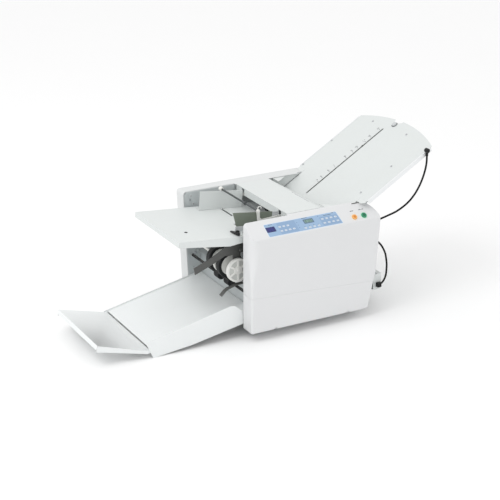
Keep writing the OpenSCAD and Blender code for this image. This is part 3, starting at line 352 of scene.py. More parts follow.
# the moulding line's two ends on the near cover's front, as x and z
creaseEnds = [tuple(float(v) for v in metres(end)[[0, 2]]) for end in ([17, -255, 166], [508, -255, 138])]
finishes = dict(
    cover=coverPlastic("coverPlastic", tone(220, 221, 222), creaseEnds),
    # the far cover's plastic is a darker copy of the near cover's, painted shade
    farCover=coverPlastic("farCoverPlasticShaded", tone(216, 218, 218)),
    sheet=layered("paintedSheet", tone(215, 219, 218), 0.42, (700.0, 0.1), (0.03, 5.0), tone(182,
                  182, 180), 0.06),
    tray=layered("trayPaint", tone(232, 235, 235), 0.42, (700.0, 0.1), (0.03, 5.0), tone(194, 194,
                 192), 0.04),
    rail=layered("railPaint", tone(234, 236, 237), 0.4, (800.0, 0.08), (0.03, 7.0), tone(190, 190,
                 188), 0.06),
    frame=layered("zincSheet", tone(196, 201, 202), 0.42, (260.0, 0.05), (0.1, 14.0), tone(150,
                  152, 154), 0.08, metallic=0.25),
    shaft=bareSteel("turnedSteel", tone(190, 192, 195), 0.24, (900.0, 6.0, 900.0), 0.1),
    rod=bareSteel("darkRod", tone(92, 96, 97), 0.32, (900.0, 6.0, 900.0), 0.1),
    rubber=layered("rollerRubber", tone(38, 39, 41), 0.72, (1500.0, 0.3), (0.3, 20.0), None, 0.25,
                   specular=0.3),
    tyre=layered("tyreRubber", tone(30, 32, 33), 0.6, (1400.0, 0.25), (0.25, 16.0), None, 0.14,
                 specular=0.35),
    dark=layered("darkMetal", tone(78, 79, 77), 0.45, (800.0, 0.1), (0.1, 9.0), tone(140, 140,
                 138), 0.1),
    # the near guide's plate is drawn dark olive-grey, the far guide light
    guide=layered("guideMetal", tone(118, 126, 114), 0.42, (900.0, 0.12), (0.08, 8.0), tone(150,
                  155, 148), 0.1),
    web=layered("wheelWeb", tone(204, 206, 202), 0.45, (1200.0, 0.05), (0.06, 9.0), None, 0.1),
    scale=layered("scaleInk", tone(88, 92, 96), 0.5, (900.0, 0.02), (0.1, 20.0), None, 0.0),
    strip=layered("edgeStrip", tone(196, 199, 200), 0.45, (900.0, 0.05), (0.05, 20.0), None, 0.05),
    white=layered("whitePlastic", tone(232, 232, 228), 0.38, (1200.0, 0.05), (0.04, 9.0), None, 0.08),
    black=layered("blackPlastic", tone(18, 19, 20), 0.5, (1300.0, 0.12), (0.15, 11.0), tone(60, 60,
                  60), 0.04, specular=0.3),
    lead=layered("leadSheath", tone(13, 14, 15), 0.6, (900.0, 0.16), (0.2, 14.0), None, 0.03,
                 specular=0.22),
    film=layered("panelFilm", tone(150, 178, 208), 0.34, (1600.0, 0.03), (0.03, 12.0), None, 0.03),
    filmField=layered("filmField", tone(138, 166, 198), 0.34, (1600.0, 0.03), (0.03, 12.0), None, 0.03),
    key=layered("keyFilm", tone(206, 216, 226), 0.36, (1500.0, 0.03), (0.04, 14.0), None, 0.03),
    bezel=layered("displayBezel", tone(88, 112, 134), 0.3, (900.0, 0.02), (0.05, 30.0), None, 0.03),
    glow=layered("figureBlue", tone(44, 54, 140), 0.3, (900.0, 0.02), (0.05, 30.0), None, 0.0),
    mint=layered("mintRing", tone(196, 236, 216), 0.35, (1200.0, 0.04), (0.04, 9.0), None, 0.03),
    bezelRing=layered("buttonRing", tone(236, 228, 218), 0.35, (1200.0, 0.04), (0.04, 9.0), None, 0.03),
    filmLine=layered("filmLine", tone(224, 232, 240), 0.34, (1600.0, 0.03), (0.03, 12.0), None, 0.03),
    window=layered("windowBlue", tone(22, 30, 100), 0.18, (700.0, 0.02), (0.08, 30.0), None, 0.03,
                   coat=0.5),
    display=layered("displayGreen", tone(126, 158, 150), 0.2, (700.0, 0.02), (0.05, 30.0), None,
                    0.03, coat=0.5),
    ink=layered("printInk", tone(52, 56, 66), 0.5, (900.0, 0.02), (0.1, 20.0), None, 0.0),
    segment=layered("displaySegment", tone(44, 58, 60), 0.3, (900.0, 0.02), (0.1, 20.0), None, 0.0),
    lamp=layered("lampLens", tone(96, 112, 150), 0.3, (900.0, 0.02), (0.1, 20.0), None, 0.0, coat=0.4),
    green=layered("greenPlastic", tone(40, 140, 100), 0.36, (1200.0, 0.04), (0.06, 15.0), None, 0.06),
    orange=layered("orangePlastic", tone(238, 178, 104), 0.36, (1200.0, 0.04), (0.06, 15.0), None, 0.06),
    deepGreen=layered("deepGreen", tone(22, 98, 70), 0.4, (1200.0, 0.04), (0.06, 15.0), None, 0.0),
    deepOrange=layered("deepOrange", tone(206, 122, 46), 0.4, (1200.0, 0.04), (0.06, 15.0), None, 0.0),
    board=layered("boardLaminate", tone(38, 92, 62), 0.4, (600.0, 0.1), (0.12, 60.0), None, 0.08),
    cork=layered("corkRubber", tone(170, 142, 108), 0.85, (420.0, 0.5), (0.5, 260.0), None, 0.05,
                 specular=0.25))
print("materials", len(finishes))


# faces of a grid of nu by nv points, wrapped round in either direction
def gridFaces(nu, nv, wrapU=False, wrapV=False):
    faces = []
    for i in range(nu if wrapU else nu - 1):
        for j in range(nv if wrapV else nv - 1):
            a, b = i, (i + 1) % nu
            c, d = j, (j + 1) % nv
            faces.append((a * nv + c, b * nv + c, b * nv + d, a * nv + d))
    return faces


def joined(parts):
    vertices, faces, start = [], [], 0
    for points, ring in parts:
        points = np.asarray(points, float).reshape(-1, 3)
        vertices.append(points)
        faces += [tuple(i + start for i in face) for face in ring]
        start += len(points)
    return np.concatenate(vertices), faces


# a closed outline [(a, b)] pushed from low to high and placed in the row frame
def prism(outline, low, high, place):
    n = len(outline)
    flat = np.asarray(outline, float)
    points = np.concatenate([np.c_[flat, np.full(n, low)], np.c_[flat, np.full(n, high)]])
    faces = [tuple(range(n))[::-1], tuple(range(n, 2 * n))]
    faces += [(i, (i + 1) % n, n + (i + 1) % n, n + i) for i in range(n)]
    return place(points), faces


def rectangle(a0, b0, a1, b1):
    return [(a0, b0), (a1, b0), (a1, b1), (a0, b1)]


def arcPoints(a, b, radius, start, end, count):
    t = np.radians(np.linspace(start, end, count))
    return np.c_[a + radius * np.cos(t), b + radius * np.sin(t)]


def roundedBox(a0, b0, a1, b1, radius, count=6):
    return np.concatenate([arcPoints(a1 - radius, b1 - radius, radius, 0, 90, count),
                           arcPoints(a0 + radius, b1 - radius, radius, 90, 180, count),
                           arcPoints(a0 + radius, b0 + radius, radius, 180, 270, count),
                           arcPoints(a1 - radius, b0 + radius, radius, 270, 360, count)])


# a profile [(radius, height)] turned about the third axis at a, b
def turned(profile, a, b, place, count=48):
    profile = np.asarray(profile, float)
    t = np.linspace(0, 2 * math.pi, count, endpoint=False)
    points = np.stack([a + np.outer(np.cos(t), profile[:, 0]), b + np.outer(np.sin(t), profile[:, 0]),
                       np.tile(profile[:, 1], (count, 1))], -1)
    return place(points.reshape(-1, 3)), gridFaces(count, len(profile), wrapU=True)


# x, z outlines pushed along y, in body millimetres
def acrossBody(points):
    p = np.asarray(points, float)
    return metres(np.stack([p[..., 0], p[..., 2], p[..., 1]], -1))


# y, z outlines pushed along x, in body millimetres
def alongBody(points):
    p = np.asarray(points, float)
    return metres(np.stack([p[..., 2], p[..., 0], p[..., 1]], -1))


# s, t outlines pushed along y, on a sloping sheet
def acrossSlope(place):
    def put(points):
        p = np.asarray(points, float)
        return place(np.stack([p[..., 0], p[..., 2], p[..., 1]], -1))
    return put


# smooth curve through a route, its ends doubled: n points a step
def smoothRoute(route, n):
    p = np.asarray(route, float)
    p = np.concatenate([p[:1], p, p[-1:]])
    t = np.linspace(0, 1, n, endpoint=False)[:, None]
    out = []
    for a, b, c, d in zip(p, p[1:], p[2:], p[3:]):
        out.append(0.5 * (2 * b + (c - a) * t + (2 * a - 5 * b + 4 * c - d) * t * t
                          + (3 * b - a - 3 * c + d) * t * t * t))
    return np.concatenate(out + [p[-1:]])


# a round tube along points already in metres; its frame is carried along
def tubeAlong(points, radius, sides=12):
    p = np.asarray(points, float)
    n = len(p)
    radius = np.broadcast_to(radius, n)
    heading = np.gradient(p, axis=0)
    heading /= np.linalg.norm(heading, axis=1)[:, None]
    side = np.cross(heading[0], [0.3, 1, 0.2])
    side /= np.linalg.norm(side)
    turn = np.linspace(0, 2 * math.pi, sides, endpoint=False)
    rings = []
    for i in range(n):
        side = side - side.dot(heading[i]) * heading[i]
        side /= np.linalg.norm(side)
        other = np.cross(heading[i], side)
        rings.append(p[i] + radius[i] * (np.outer(np.cos(turn), side) + np.outer(np.sin(turn), other)))
    ends = [tuple(range(sides)), tuple(range(n * sides - 1, (n - 1) * sides - 1, -1))]
    return np.concatenate(rings), gridFaces(n, sides, wrapV=True) + ends


def finishPiece(name, parts, finish, body, slotName, replaced=(), bevel=0.0, sharp=34):
    vertices, faces = joined(parts)
    mesh = bpy.data.meshes.new(name)
    mesh.from_pydata(vertices.tolist(), [], faces)
    return finishMesh(name, mesh, finish, body, slotName, replaced, bevel, sharp)


mergeDistance = 2e-6
bevelSegments = 2


# merges a mesh's doubled points and gives it its material, edges and body
def finishMesh(name, mesh, finish, body, slotName, replaced=(), bevel=0.0, sharp=34, dissolve=0.0):
    work = bmesh.new()
    work.from_mesh(mesh)
    bmesh.ops.remove_doubles(work, verts=work.verts, dist=mergeDistance)
    if dissolve:
        bmesh.ops.dissolve_limit(work, angle_limit=math.radians(dissolve), verts=work.verts,
                                 edges=work.edges)
    bmesh.ops.recalc_face_normals(work, faces=work.faces)
    work.to_mesh(mesh)
    work.free()
    mesh.materials.clear()
    mesh.materials.append(finishes[finish])
    piece = bpy.data.objects.new(name, mesh)
    bpy.context.collection.objects.link(piece)
    mesh.shade_smooth()
    mesh.set_sharp_from_angle(angle=math.radians(sharp))
    if bevel:
        edge = piece.modifiers.new("edge", "BEVEL")
        edge.width = bevel
        edge.segments = bevelSegments
        edge.limit_method = "ANGLE"
        edge.angle_limit = math.radians(sharp)
        edge.use_clamp_overlap = True
    level = piece.modifiers.new("level", "WEIGHTED_NORMAL")
    level.keep_sharp = True
    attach(piece, body)
    if replaced:
        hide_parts(*replaced)
    return piece


upperLead = dict(length=0.3733, exit=(514, -165, 325),
    route=[(514, -165, 325), (526, -165, 325), (546, -165, 326), (568, -166, 329), (590, -169, 335),
           (612, -174, 343), (633, -183, 354), (653, -193, 370), (670, -203, 389), (683, -212, 410),
           (693, -221, 434), (702, -229, 462), (709, -235, 491), (714, -239, 519), (717, -240, 544),
           (717, -240, 567)])
lowerLead = dict(length=0.2432, exit=(514, -165, 262),
    route=[(514, -165, 262), (525, -165, 262), (538, -165, 260), (551, -165, 256), (564, -165, 249),
           (576, -165, 239), (587, -166, 226), (596, -168, 210), (603, -170, 192), (606, -172, 173),
           (607, -175, 154), (605, -178, 136), (601, -182, 120), (594, -186, 106), (584, -189, 95),
           (572, -191, 87)])
leadRadius = 0.0035


def makeLead(name, lead, node):
    path = metres(smoothRoute(lead["route"], 6))
    tube = tubeAlong(path, leadRadius, 16)
    piece = finishPiece(name, [tube], "lead", "root", "lead_sheath", (node,), sharp=60)
    tuple(metres(lead["exit"]))


makeLead("upperLead", upperLead, "upper_lead")
makeLead("lowerLead", lowerLead, "lower_lead")
print("leads")


cover = dict(length=521, foot=34, top=425, inner=195, outer=255, wall=3, taper=44, corner=62, soft=7,
             kneeIn=13, kneeRise=144, notches=(96, 392), notchRadius=7, endRadius=7, faceRadius=7,
             farReach=34)


def smoothStep(low, high, value):
    t = np.clip((np.asarray(value, float) - low) / (high - low), 0, 1)
    return t * t * (3 - 2 * t)


# side outline from the lower left corner round by the foot, the leaning
# right end, the large corner and the top, at even steps of about 5 mm and
# finer round the notches; left is how far it reaches to -X
def coverOutline(left, notches):
    soft, foot, top = cover["soft"], cover["foot"], cover["top"]
    right = cover["length"] - cover["taper"]
    knee = [cover["length"] - cover["kneeIn"], foot + cover["kneeRise"]]
    xs = [np.linspace(-left / 2 + soft, right - soft, 96)]
    for at in notches:
        xs.append(np.linspace(at - 9, at + 9, 25))
    xs = np.unique(np.concatenate(xs).round(2))
    bottom = np.c_[xs, np.full(len(xs), foot)]
    low = arcPoints(right - soft, foot + soft, soft, 270, 356, 7)[1:]
    lean = np.array([[right, foot + soft], knee])
    lean = lean[0] + (lean[1] - lean[0]) * np.linspace(0.03, 1, 22)[:, None]
    up = np.array([knee, [cover["length"], top - cover["corner"]]])
    up = up[0] + (up[1] - up[0]) * np.linspace(0.04, 0.98, 30)[:, None]
    corner = arcPoints(cover["length"] - cover["corner"], top - cover["corner"], cover["corner"], 0, 90, 34)
    roof = np.linspace(cover["length"] - cover["corner"], -left + 2 * soft, 90)[1:-1]
    roof = np.c_[roof, np.full(len(roof), top)]
    shoulder = arcPoints(-left + 2 * soft, top - 2 * soft, 2 * soft, 90, 180, 9)
    down = np.array([[-left, top - 2 * soft], [-left / 2, foot + soft]])
    down = down[0] + (down[1] - down[0]) * np.linspace(0, 1, 74)[1:-1, None]
    heel = arcPoints(-left / 2 + soft, foot + soft, soft, 180, 266, 7)
    return np.concatenate([bottom, low, lean, up, corner, roof, shoulder, down, heel])


# radius of the rounded left end at each height, wide high up, with an S
# between the two
leftEnd = dict(z=(34, 130, 163, 190, 208, 232, 255, 280, 306, 339, 377, 425),
               r=(6, 8, 10, 9, 9, 12, 18, 26, 31, 32, 24, 22))


# rise of a quarter round above its start, at a depth behind the outer face
def quarterRound(depth, radius):
    return np.sqrt(np.clip(radius ** 2 - (radius - np.minimum(depth, radius)) ** 2, 0, radius ** 2))


# the fillet turns the front face into the deck's slope; line is the slope's
# height at the outer face, blend the depth where the two meet
deckEdge = dict(fillet=8, start=373.6, line=377.3, blend=2.85, top=424)
plainEdge = dict(radius=14, start=411)


# height of the deck's surface at a depth behind the outer face
def deckHeight(depth):
    straight = deckEdge["line"] + depth * math.tan(math.radians(deck["tilt"]))
    curved = deckEdge["start"] + quarterRound(depth, deckEdge["fillet"])
    return np.minimum(np.where(depth < deckEdge["blend"], curved, straight), deckEdge["top"])


# height of a plain cover's top at a depth behind the outer face
def plainHeight(depth):
    return plainEdge["start"] + quarterRound(depth, plainEdge["radius"])


def softMinimum(a, b, width):
    mix = np.clip(0.5 + 0.5 * (b - a) / width, 0, 1)
    return b + (a - b) * mix - width * mix * (1 - mix)


# squeezes a point of the outline in from each end by that end's inset, so
# that the corners follow without folding
def squeezed(x, z, left, leftInset, endInset, footInset):
    right = cover["length"]
    x = x + leftInset * (1 - smoothStep(-left, -left + 75, x))
    x = x - endInset * smoothStep(right - 75, right, x)
    return x, z + footInset * (1 - smoothStep(cover["foot"], cover["foot"] + 40, z))


# rings of one skin of a cover, set in by a wall: the middle of the front face
# outwards, round the rounding, and straight back to the open inner edge
def coverRings(left, height, notches, leftRadius, wall, counts):
    outline = coverOutline(left, notches)
    step = np.roll(outline, -1, 0) - np.roll(outline, 1, 0)
    step /= np.linalg.norm(step, axis=1)[:, None]
    outline = outline + wall * np.c_[-step[:, 1], step[:, 0]]
    x, z = outline[:, 0], outline[:, 1]
    low, drop = cover["foot"] + wall, wall * 1.25
    zFront = np.minimum(z, height(wall) - drop)
    leftness = 1 - smoothStep(-left, -left + 75, x)
    face = cover["faceRadius"]
    radius = face + (leftRadius(zFront) - face) * leftness - wall
    rings = []

    def add(inset, depth, part=1.0, hub=None):
        edge = (leftRadius(np.minimum(z, height(wall + depth))) - wall) * inset
        xr, zr = squeezed(x, z, left, edge, (cover["endRadius"] - wall) * inset, (face - wall) * inset)
        lift = smoothStep(8.5, 6, depth) if np.ndim(depth) else float(depth < 7)
        for at in notches:
            dome = np.sqrt(np.clip(cover["notchRadius"] ** 2 - (x - at) ** 2, 0, None))
            zr = zr + lift * dome * (1 - smoothStep(low, low + 30, zr))
        zr = softMinimum(zr, height(wall + depth) - drop, 1.5)
        if hub is not None:
            xr, zr = hub[0] + part * (xr - hub[0]), hub[1] + part * (zr - hub[1])
        rings.append(np.c_[xr, -cover["outer"] + wall + depth + 0 * xr, zr])

    hub = (np.clip(x, 110, 410), 220)
    for part in np.linspace(0, 1, counts[0]):
        add(1, 0 * x, part, hub)
    for turn in np.radians(np.linspace(0, 90, counts[1])[1:]):
        add(1 - math.sin(turn), radius * (1 - math.cos(turn)))
    span = cover["outer"] - cover["inner"] - wall
    for part in np.linspace(0, 1, counts[2])[1:]:
        add(0, radius + (span - radius) * part)
    return rings


def coverShell(left, side, height, notches, leftRadius):
    outer = coverRings(left, height, notches, leftRadius, 0, (14, 13, 26))
    inner = coverRings(left, height, notches, leftRadius, cover["wall"], (4, 6, 9))
    rings = np.array(outer + inner[::-1])
    faces = gridFaces(len(rings), rings.shape[1], wrapV=True)
    if side > 0:
        rings[..., 1] *= -1
    return metres(rings.reshape(-1, 3)), faces


lip = dict(x0=174, x1=440, near=184.3, far=196.0, thick=1.8)


# a thin lip of a cover over the frame, beside the top cover
def coverLip(side, top):
    y0, y1 = sorted((side * lip["far"], side * lip["near"]))
    return prism(rectangle(lip["x0"], y0, lip["x1"], y1), top - lip["thick"], top, metres)


def nearRadius(z):
    return np.interp(z, leftEnd["z"], leftEnd["r"])


# the far cover's left end keeps one radius over its height
def farRadius(z):
    return 9.0 + 0 * z


nearShell = coverShell(0, -1, deckHeight, cover["notches"], nearRadius)
nearCover = finishPiece("nearCover", [nearShell], "cover", "root", "cover_plastic", ("near_cover",),
                        sharp=50)
farShell = coverShell(cover["farReach"], 1, plainHeight, (), farRadius)
finishPiece("farCover", [farShell], "farCover", "root", "cover_plastic", ("far_cover",), sharp=50)
finishPiece("nearCoverLip", [coverLip(-1, 423.9)], "cover", "root", "cover_plastic", bevel=0.0004)
finishPiece("farCoverLip", [coverLip(1, 424.9)], "farCover", "root", "cover_plastic", bevel=0.0004)
print("covers", len(nearCover.data.polygons))


dissolveAngle = 1.5


# a merged copy of a node's own mesh with rounded edges
def softened(node, finish, width):
    source = frame["nodes"][node]
    mesh = source.data.copy()
    words = node.split("_")
    name = words[0] + "".join(w.capitalize() for w in words[1:])
    body = body_of(source)[0]
    finishMesh(name, mesh, finish, body, nodeSlots[node], (node,), width, dissolve=dissolveAngle)


nodeSlots = {row["node"]: row["material_slot"] for row in frame["record"]["subparts"]}
plain = dict(
    near_side_frame=("frame", 0.0005), far_side_frame=("frame", 0.0005), base_pan=("frame", 0.0005),
    rear_panel=("sheet", 0.0006), cross_ties=("dark", 0.0005), rubber_feet=("tyre", 0.0015),
    circuit_board=("board", 0.0003), power_supply=("frame", 0.001), main_motor=("dark", 0.002),
    motor_pulley=("shaft", 0.0008), drive_belts=("tyre", 0.0004), mains_inlet=("black", 0.0006),
    power_rocker=("black", 0.0006), lead_sockets=("black", 0.001), top_cover=("sheet", 0.0012),
    rear_guard=("sheet", 0.0005), feed_table=("sheet", 0.0009), table_brackets=("frame", 0.0008),
    far_guide=("sheet", 0.0006), guide_pinion=("white", 0.0002), hold_down_arms=("white", 0.0012),
    hold_down_rods=("rod", 0.0007),
    feed_shaft=("shaft", 0.0006), feed_tyres=("tyre", 0.001), separator_pad=("cork", 0.0008),
    fold_roller_1=("rubber", 0.0006), fold_roller_2=("rubber", 0.0006), fold_roller_3=("rubber", 0.0006),
    fold_roller_4=("rubber", 0.0006), exit_chute=("frame", 0.0004), exit_arms=("dark", 0.001),
    exit_wheels=("white", 0.0012), exit_tyres=("tyre", 0.0015), lower_exit_roller=("rubber", 0.0008),
    paper_finger=("dark", 0.0006), stacker_tray=("tray", 0.0006), end_flap=("tray", 0.0006),
    plate1_top_sheet=("sheet", 0.0006), plate1_bottom_sheet=("frame", 0.0004), plate1_rails=("rail", 0.001),
    plate1_stop=("dark", 0.0003), plate1_lead_screw=("shaft", 0.0003), plate2_top_sheet=("frame", 0.0004),
    plate2_bottom_sheet=("frame", 0.0004), plate2_rails=("sheet", 0.0006), plate2_stop=("dark", 0.0003),
    plate2_lead_screw=("shaft", 0.0003), stop_motors=("black", 0.001), lead_connectors=("black", 0.001),
    panel_screws=("shaft", 0.0005))
for node, (finish, width) in plain.items():
    softened(node, finish, width)
print("secondary", len(plain))


film = dict(x0=67, x1=359, u0=0.8, u1=52.6, corner=4, thick=0.8, border=1.4, under=-0.6,
            lowStart=70, lowSpan=296, highStart=65.5, highSpan=290.5)


# the film's own frame: its ends lean a little between the deck's edges
def onFilm(points):
    p = np.array(points, float)
    up = (p[..., 1] - film["u0"]) / (film["u1"] - film["u0"])
    part = (p[..., 0] - film["x0"]) / (film["x1"] - film["x0"])
    low = film["lowStart"] + part * film["lowSpan"]
    high = film["highStart"] + part * film["highSpan"]
    p[..., 0] = low + (high - low) * up
    return onDeck(p)


def filmPiece(name, parts, finish, slotName="panel_film", replaced=(), bevel=0.0):
    finishPiece(name, parts, finish, "root", slotName, replaced, bevel)


# a place on the film, given as parts of its length and depth
def filmPlace(part, up):
    return film["x0"] + (film["x1"] - film["x0"]) * part, film["u0"] + (film["u1"] - film["u0"]) * up


# a rounded patch on the film, by its middle as parts of the film's size
def patch(part, up, width, depth, rise, corner, sink=0.3):
    x, u = filmPlace(part, up)
    outline = roundedBox(x - width / 2, u - depth / 2, x + width / 2, u + depth / 2, corner, 6)
    return prism(outline, film["thick"] - sink, film["thick"] + rise, onFilm)


# strokes of the seven-part figures: middle and size as parts of a figure's box
strokes = dict(a=(0, 1, 1, 0), b=(1, 0.5, 0, 1), c=(1, -0.5, 0, 1), d=(0, -1, 1, 0), e=(-1, -0.5, 0, 1),
               f=(-1, 0.5, 0, 1), g=(0, 0, 1, 0))
figures = ("abcdef", "bc", "abged", "abgcd", "fgbc", "afgcd", "afgedc", "abc", "abcdefg", "abcdfg")


# a plain figure as thin bars in a flat frame, its middle at a, b
def figureBars(figure, a, b, width, height, bar, low, high, place):
    bars = []
    for stroke in figures[figure]:
        across, up, wide, tall = strokes[stroke]
        ca, cb = a + across * width / 2, b + up * height / 2
        ha = width / 2 - bar * 0.2 if wide else bar / 2
        hb = bar / 2 if wide else height / 4 - bar * 0.2
        outline = roundedBox(ca - ha, cb - hb, ca + ha, cb + hb, bar * 0.35, 3)
        bars.append(prism(outline, low, high, place))
    return bars


def makePanel():
    x0, x1, u0, u1 = film["x0"], film["x1"], film["u0"], film["u1"]
    edge, top = film["border"], film["thick"]
    border = roundedBox(x0, u0, x1, u1, film["corner"], 8)
    filmPiece("panelBorder", [prism(border, film["under"], top - 0.2, onFilm)], "filmLine", bevel=0.0002)
    face = roundedBox(x0 + edge, u0 + edge, x1 - edge, u1 - edge, film["corner"] - edge, 8)
    filmPiece("panelFilm", [prism(face, film["under"], top, onFilm)], "film", replaced=("control_panel",),
              bevel=0.0002)
    fields = [patch(0.29, 0.5, 70, 44, 0.1, 3), patch(0.86, 0.42, 72, 36, 0.1, 3)]
    filmPiece("panelFields", fields, "filmField")


keys = dict(
    # middles of the keys, as parts of the film's length and depth
    caps=((0.19, 0.3), (0.245, 0.3), (0.3, 0.3), (0.355, 0.3), (0.19, 0.62), (0.245, 0.62), (0.3, 0.62),
          (0.5, 0.18), (0.56, 0.18), (0.62, 0.18), (0.68, 0.18),
          (0.77, 0.28), (0.83, 0.28), (0.89, 0.28), (0.95, 0.28), (0.77, 0.6), (0.83, 0.6), (0.89, 0.6),
          (0.95, 0.6)),
    size=(9.5, 6.0), rise=1.0, corner=1.8,
    lamps=((0.43, 0.3), (0.43, 0.5), (0.43, 0.7), (0.735, 0.86)),
    # long legends: middle as parts of the film, and width
    legends=((0.085, 0.9, 14), (0.27, 0.86, 26), (0.55, 0.93, 22), (0.86, 0.84, 30), (0.94, 0.93, 9)))
count = dict(at=(0.585, 0.66), figures=(0, 1, 2, 5), first=-10.5, step=7, bars=(3.6, 6.8, 1.0), rise=0.62)
status = dict(at=(0.066, 0.55), figures=(8, 8), first=-5, step=10, bars=(5, 11, 1.2), rise=0.57)


# a row of figures in one of the film's windows
def windowFigures(window):
    x, u = filmPlace(*window["at"])
    bars = []
    for i, figure in enumerate(window["figures"]):
        at = x + window["first"] + i * window["step"]
        bars += figureBars(figure, at, u, *window["bars"], film["thick"], film["thick"] + window["rise"],
                           onFilm)
    return bars


def makeKeys():
    caps = [patch(part, up, *keys["size"], keys["rise"], keys["corner"]) for part, up in keys["caps"]]
    filmPiece("panelKeys", caps, "key", "key_film", ("panel_keys",), 0.0004)
    marks = []
    for i, (part, up) in enumerate(keys["caps"]):
        marks.append(patch(part, up + 0.115, 5.4 - i % 3, 0.9, 0.06, 0.3))
        marks.append(patch(part, up, 2.2, 0.8, keys["rise"] + 0.05, 0.3))
    for part, up, width in keys["legends"]:
        marks.append(patch(part, up, width, 1.4, 0.06, 0.5))
    filmPiece("keyLegends", marks, "ink")
    filmPiece("statusWindow", [patch(*status["at"], 35, 20, 0.5, 2)], "window", bevel=0.0003)
    filmPiece("countWindow", [patch(*count["at"], 39, 17, 0.4, 2)], "bezel", bevel=0.0003)
    filmPiece("countDisplay", [patch(*count["at"], 31, 10.6, 0.55, 1)], "display", bevel=0.0002)
    filmPiece("countFigures", windowFigures(count), "segment")
    filmPiece("statusFigures", windowFigures(status), "glow")
    lamps = []
    for part, up in keys["lamps"]:
        x, u = filmPlace(part, up)
        dome = [(0, 1.5), (0.8, 1.35), (1.2, 1.0), (1.2, 0.4), (0, 0.4)]
        lamps.append(turned(dome, x, u, onFilm, 20))
    filmPiece("panelLamps", lamps, "lamp")


makePanel()
makeKeys()

button = dict(stop=417, start=456, u=15.4, radius=9.7, rise=5)


# the node and its body have one name
def makeButton(name, x, finish, core, ringFinish, slotName, body):
    r, h = button["radius"], button["rise"]
    dome = [(0, -9), (r, -9), (r, h - 1.6), (r - 0.5, h - 0.6), (r - 1.6, h), (r - 3, h), (r - 3.5, h - 0.5),
            (r - 4.4, h - 0.5), (r - 6, h - 0.1), (0, h + 0.1)]
    finishPiece(name, [turned(dome, x, button["u"], onDeck, 56)], finish, body, slotName, (body,))
    ring = [(r + 0.3, -1), (r + 3.4, -1), (r + 3.4, 0.5), (r + 2.8, 0.9), (r + 0.5, 0.9), (r + 0.3, 0.5)]
    points, faces = turned(ring + ring[:1], x, button["u"], onDeck, 56)
    finishPiece(name + "Bezel", [(points, faces)], ringFinish, "root", "white_plastic")
    disc = [(0, h + 0.05), (r - 5, h + 0.02), (r - 4.7, h - 0.2), (r - 4.7, h - 0.8), (0, h - 0.8)]
    finishPiece(name + "Core", [turned(disc, x, button["u"], onDeck, 40)], core, body, slotName)


makeButton("stopButton", button["stop"], "orange", "deepOrange", "bezelRing", "orange_plastic",
           "stop_button")
makeButton("startButton", button["start"], "green", "deepGreen", "mint", "green_plastic", "start_button")
# the marks above the two buttons: a bar each, one broken in two
buttonMarks = [prism(roundedBox(x0, 40, x1, 42.4, 1), -0.4, 0.1, onDeck)
               for x0, x1 in ((410, 424), (445, 455), (458, 466))]
finishPiece("buttonMarks", buttonMarks, "ink", "root", "panel_film")
print("controls")


guideSide = acrossSlope(onTable)
nearGuide = dict(
    # s, t outlines of the dark plate, its light end and the light base
    plate=[(240, 21), (222, 71.4), (379, 64.1), (379, 21)],
    end=[(379, 21), (379, 64.1), (402, 63), (402, 21)],
    base=[(236, 0.4), (237, 21), (402, 21), (402, 0.4)], y=(-129, -127), foot=(236, -151, 362, -127))


# what lies under the table stays as the node's own mesh, cut off there
def belowTable(node, name, finish, body, slotName):
    mesh = frame["nodes"][node].data.copy()
    work = bmesh.new()
    work.from_mesh(mesh)
    bmesh.ops.remove_doubles(work, verts=work.verts, dist=mergeDistance)
    at, above = onTable([0, 0, 0.35]), onTable([0, 0, 1.35])
    bmesh.ops.bisect_plane(work, geom=work.verts[:] + work.edges[:] + work.faces[:], plane_co=at,
                           plane_no=Vector(above - at).normalized(), clear_outer=True)
    bmesh.ops.holes_fill(work, edges=[e for e in work.edges if e.is_boundary], sides=0)
    work.to_mesh(mesh)
    work.free()
    finishMesh(name, mesh, finish, body, slotName, bevel=0.0002)


def guidePiece(name, part, finish, replaced=(), bevel=0.0004):
    finishPiece(name, [part], finish, "near_guide", nodeSlots["near_guide"], replaced, bevel)


def makeNearGuide():
    low, high = nearGuide["y"]
    guidePiece("nearGuide", prism(nearGuide["plate"], low, high, guideSide), "guide", ("near_guide",))
    guidePiece("nearGuideEnd", prism(nearGuide["end"], low - 0.3, high + 0.3, guideSide), "strip")
    s0, y0, s1, y1 = nearGuide["foot"]
    base = prism(nearGuide["base"], low - 1.4, high + 0.6, guideSide)
    guidePiece("nearGuideBase", base, "strip", bevel=0.0005)
    guidePiece("nearGuideFoot", prism(roundedBox(s0, y0, s1, y1 - 0.5, 3), 0.4, 2.2, onTable), "sheet")
    screws = []
    for s in (262, 310, 350):
        screws.append(turned([(0, 2.0), (3.6, 2.0), (3.4, 3.4), (2.2, 4.0), (0, 4.1)], s, -141, onTable, 24))
    finishPiece("nearGuideScrews", screws, "shaft", "near_guide", nodeSlots["near_guide"], sharp=50)
    belowTable("near_guide", "nearGuideRack", "frame", "near_guide", nodeSlots["near_guide"])


def makeLever():
    outline = [(219, -124), (227, -123), (233, -133), (247, -135), (247, -143), (237, -147), (235, -168),
               (232, -172), (228, -172), (225, -169)]
    arm = prism(outline, 2.7, 6.2, onTable)
    hub = [(0, 0.8), (3, 0.8), (3, 2.4), (6, 2.4), (6, 8.4), (5.4, 9), (0, 9)]
    hub = turned(hub, 242, -139, onTable, 32)
    knob = turned([(0, 5), (4.4, 5), (5, 6), (5, 10.6), (4.2, 11.8), (0, 12.2)], 230, -166, onTable, 32)
    finishPiece("guideLever", [arm, hub, knob], "black", "guide_lever", nodeSlots["guide_lever"],
                ("guide_lever",), 0.0005)


makeNearGuide()
makeLever()
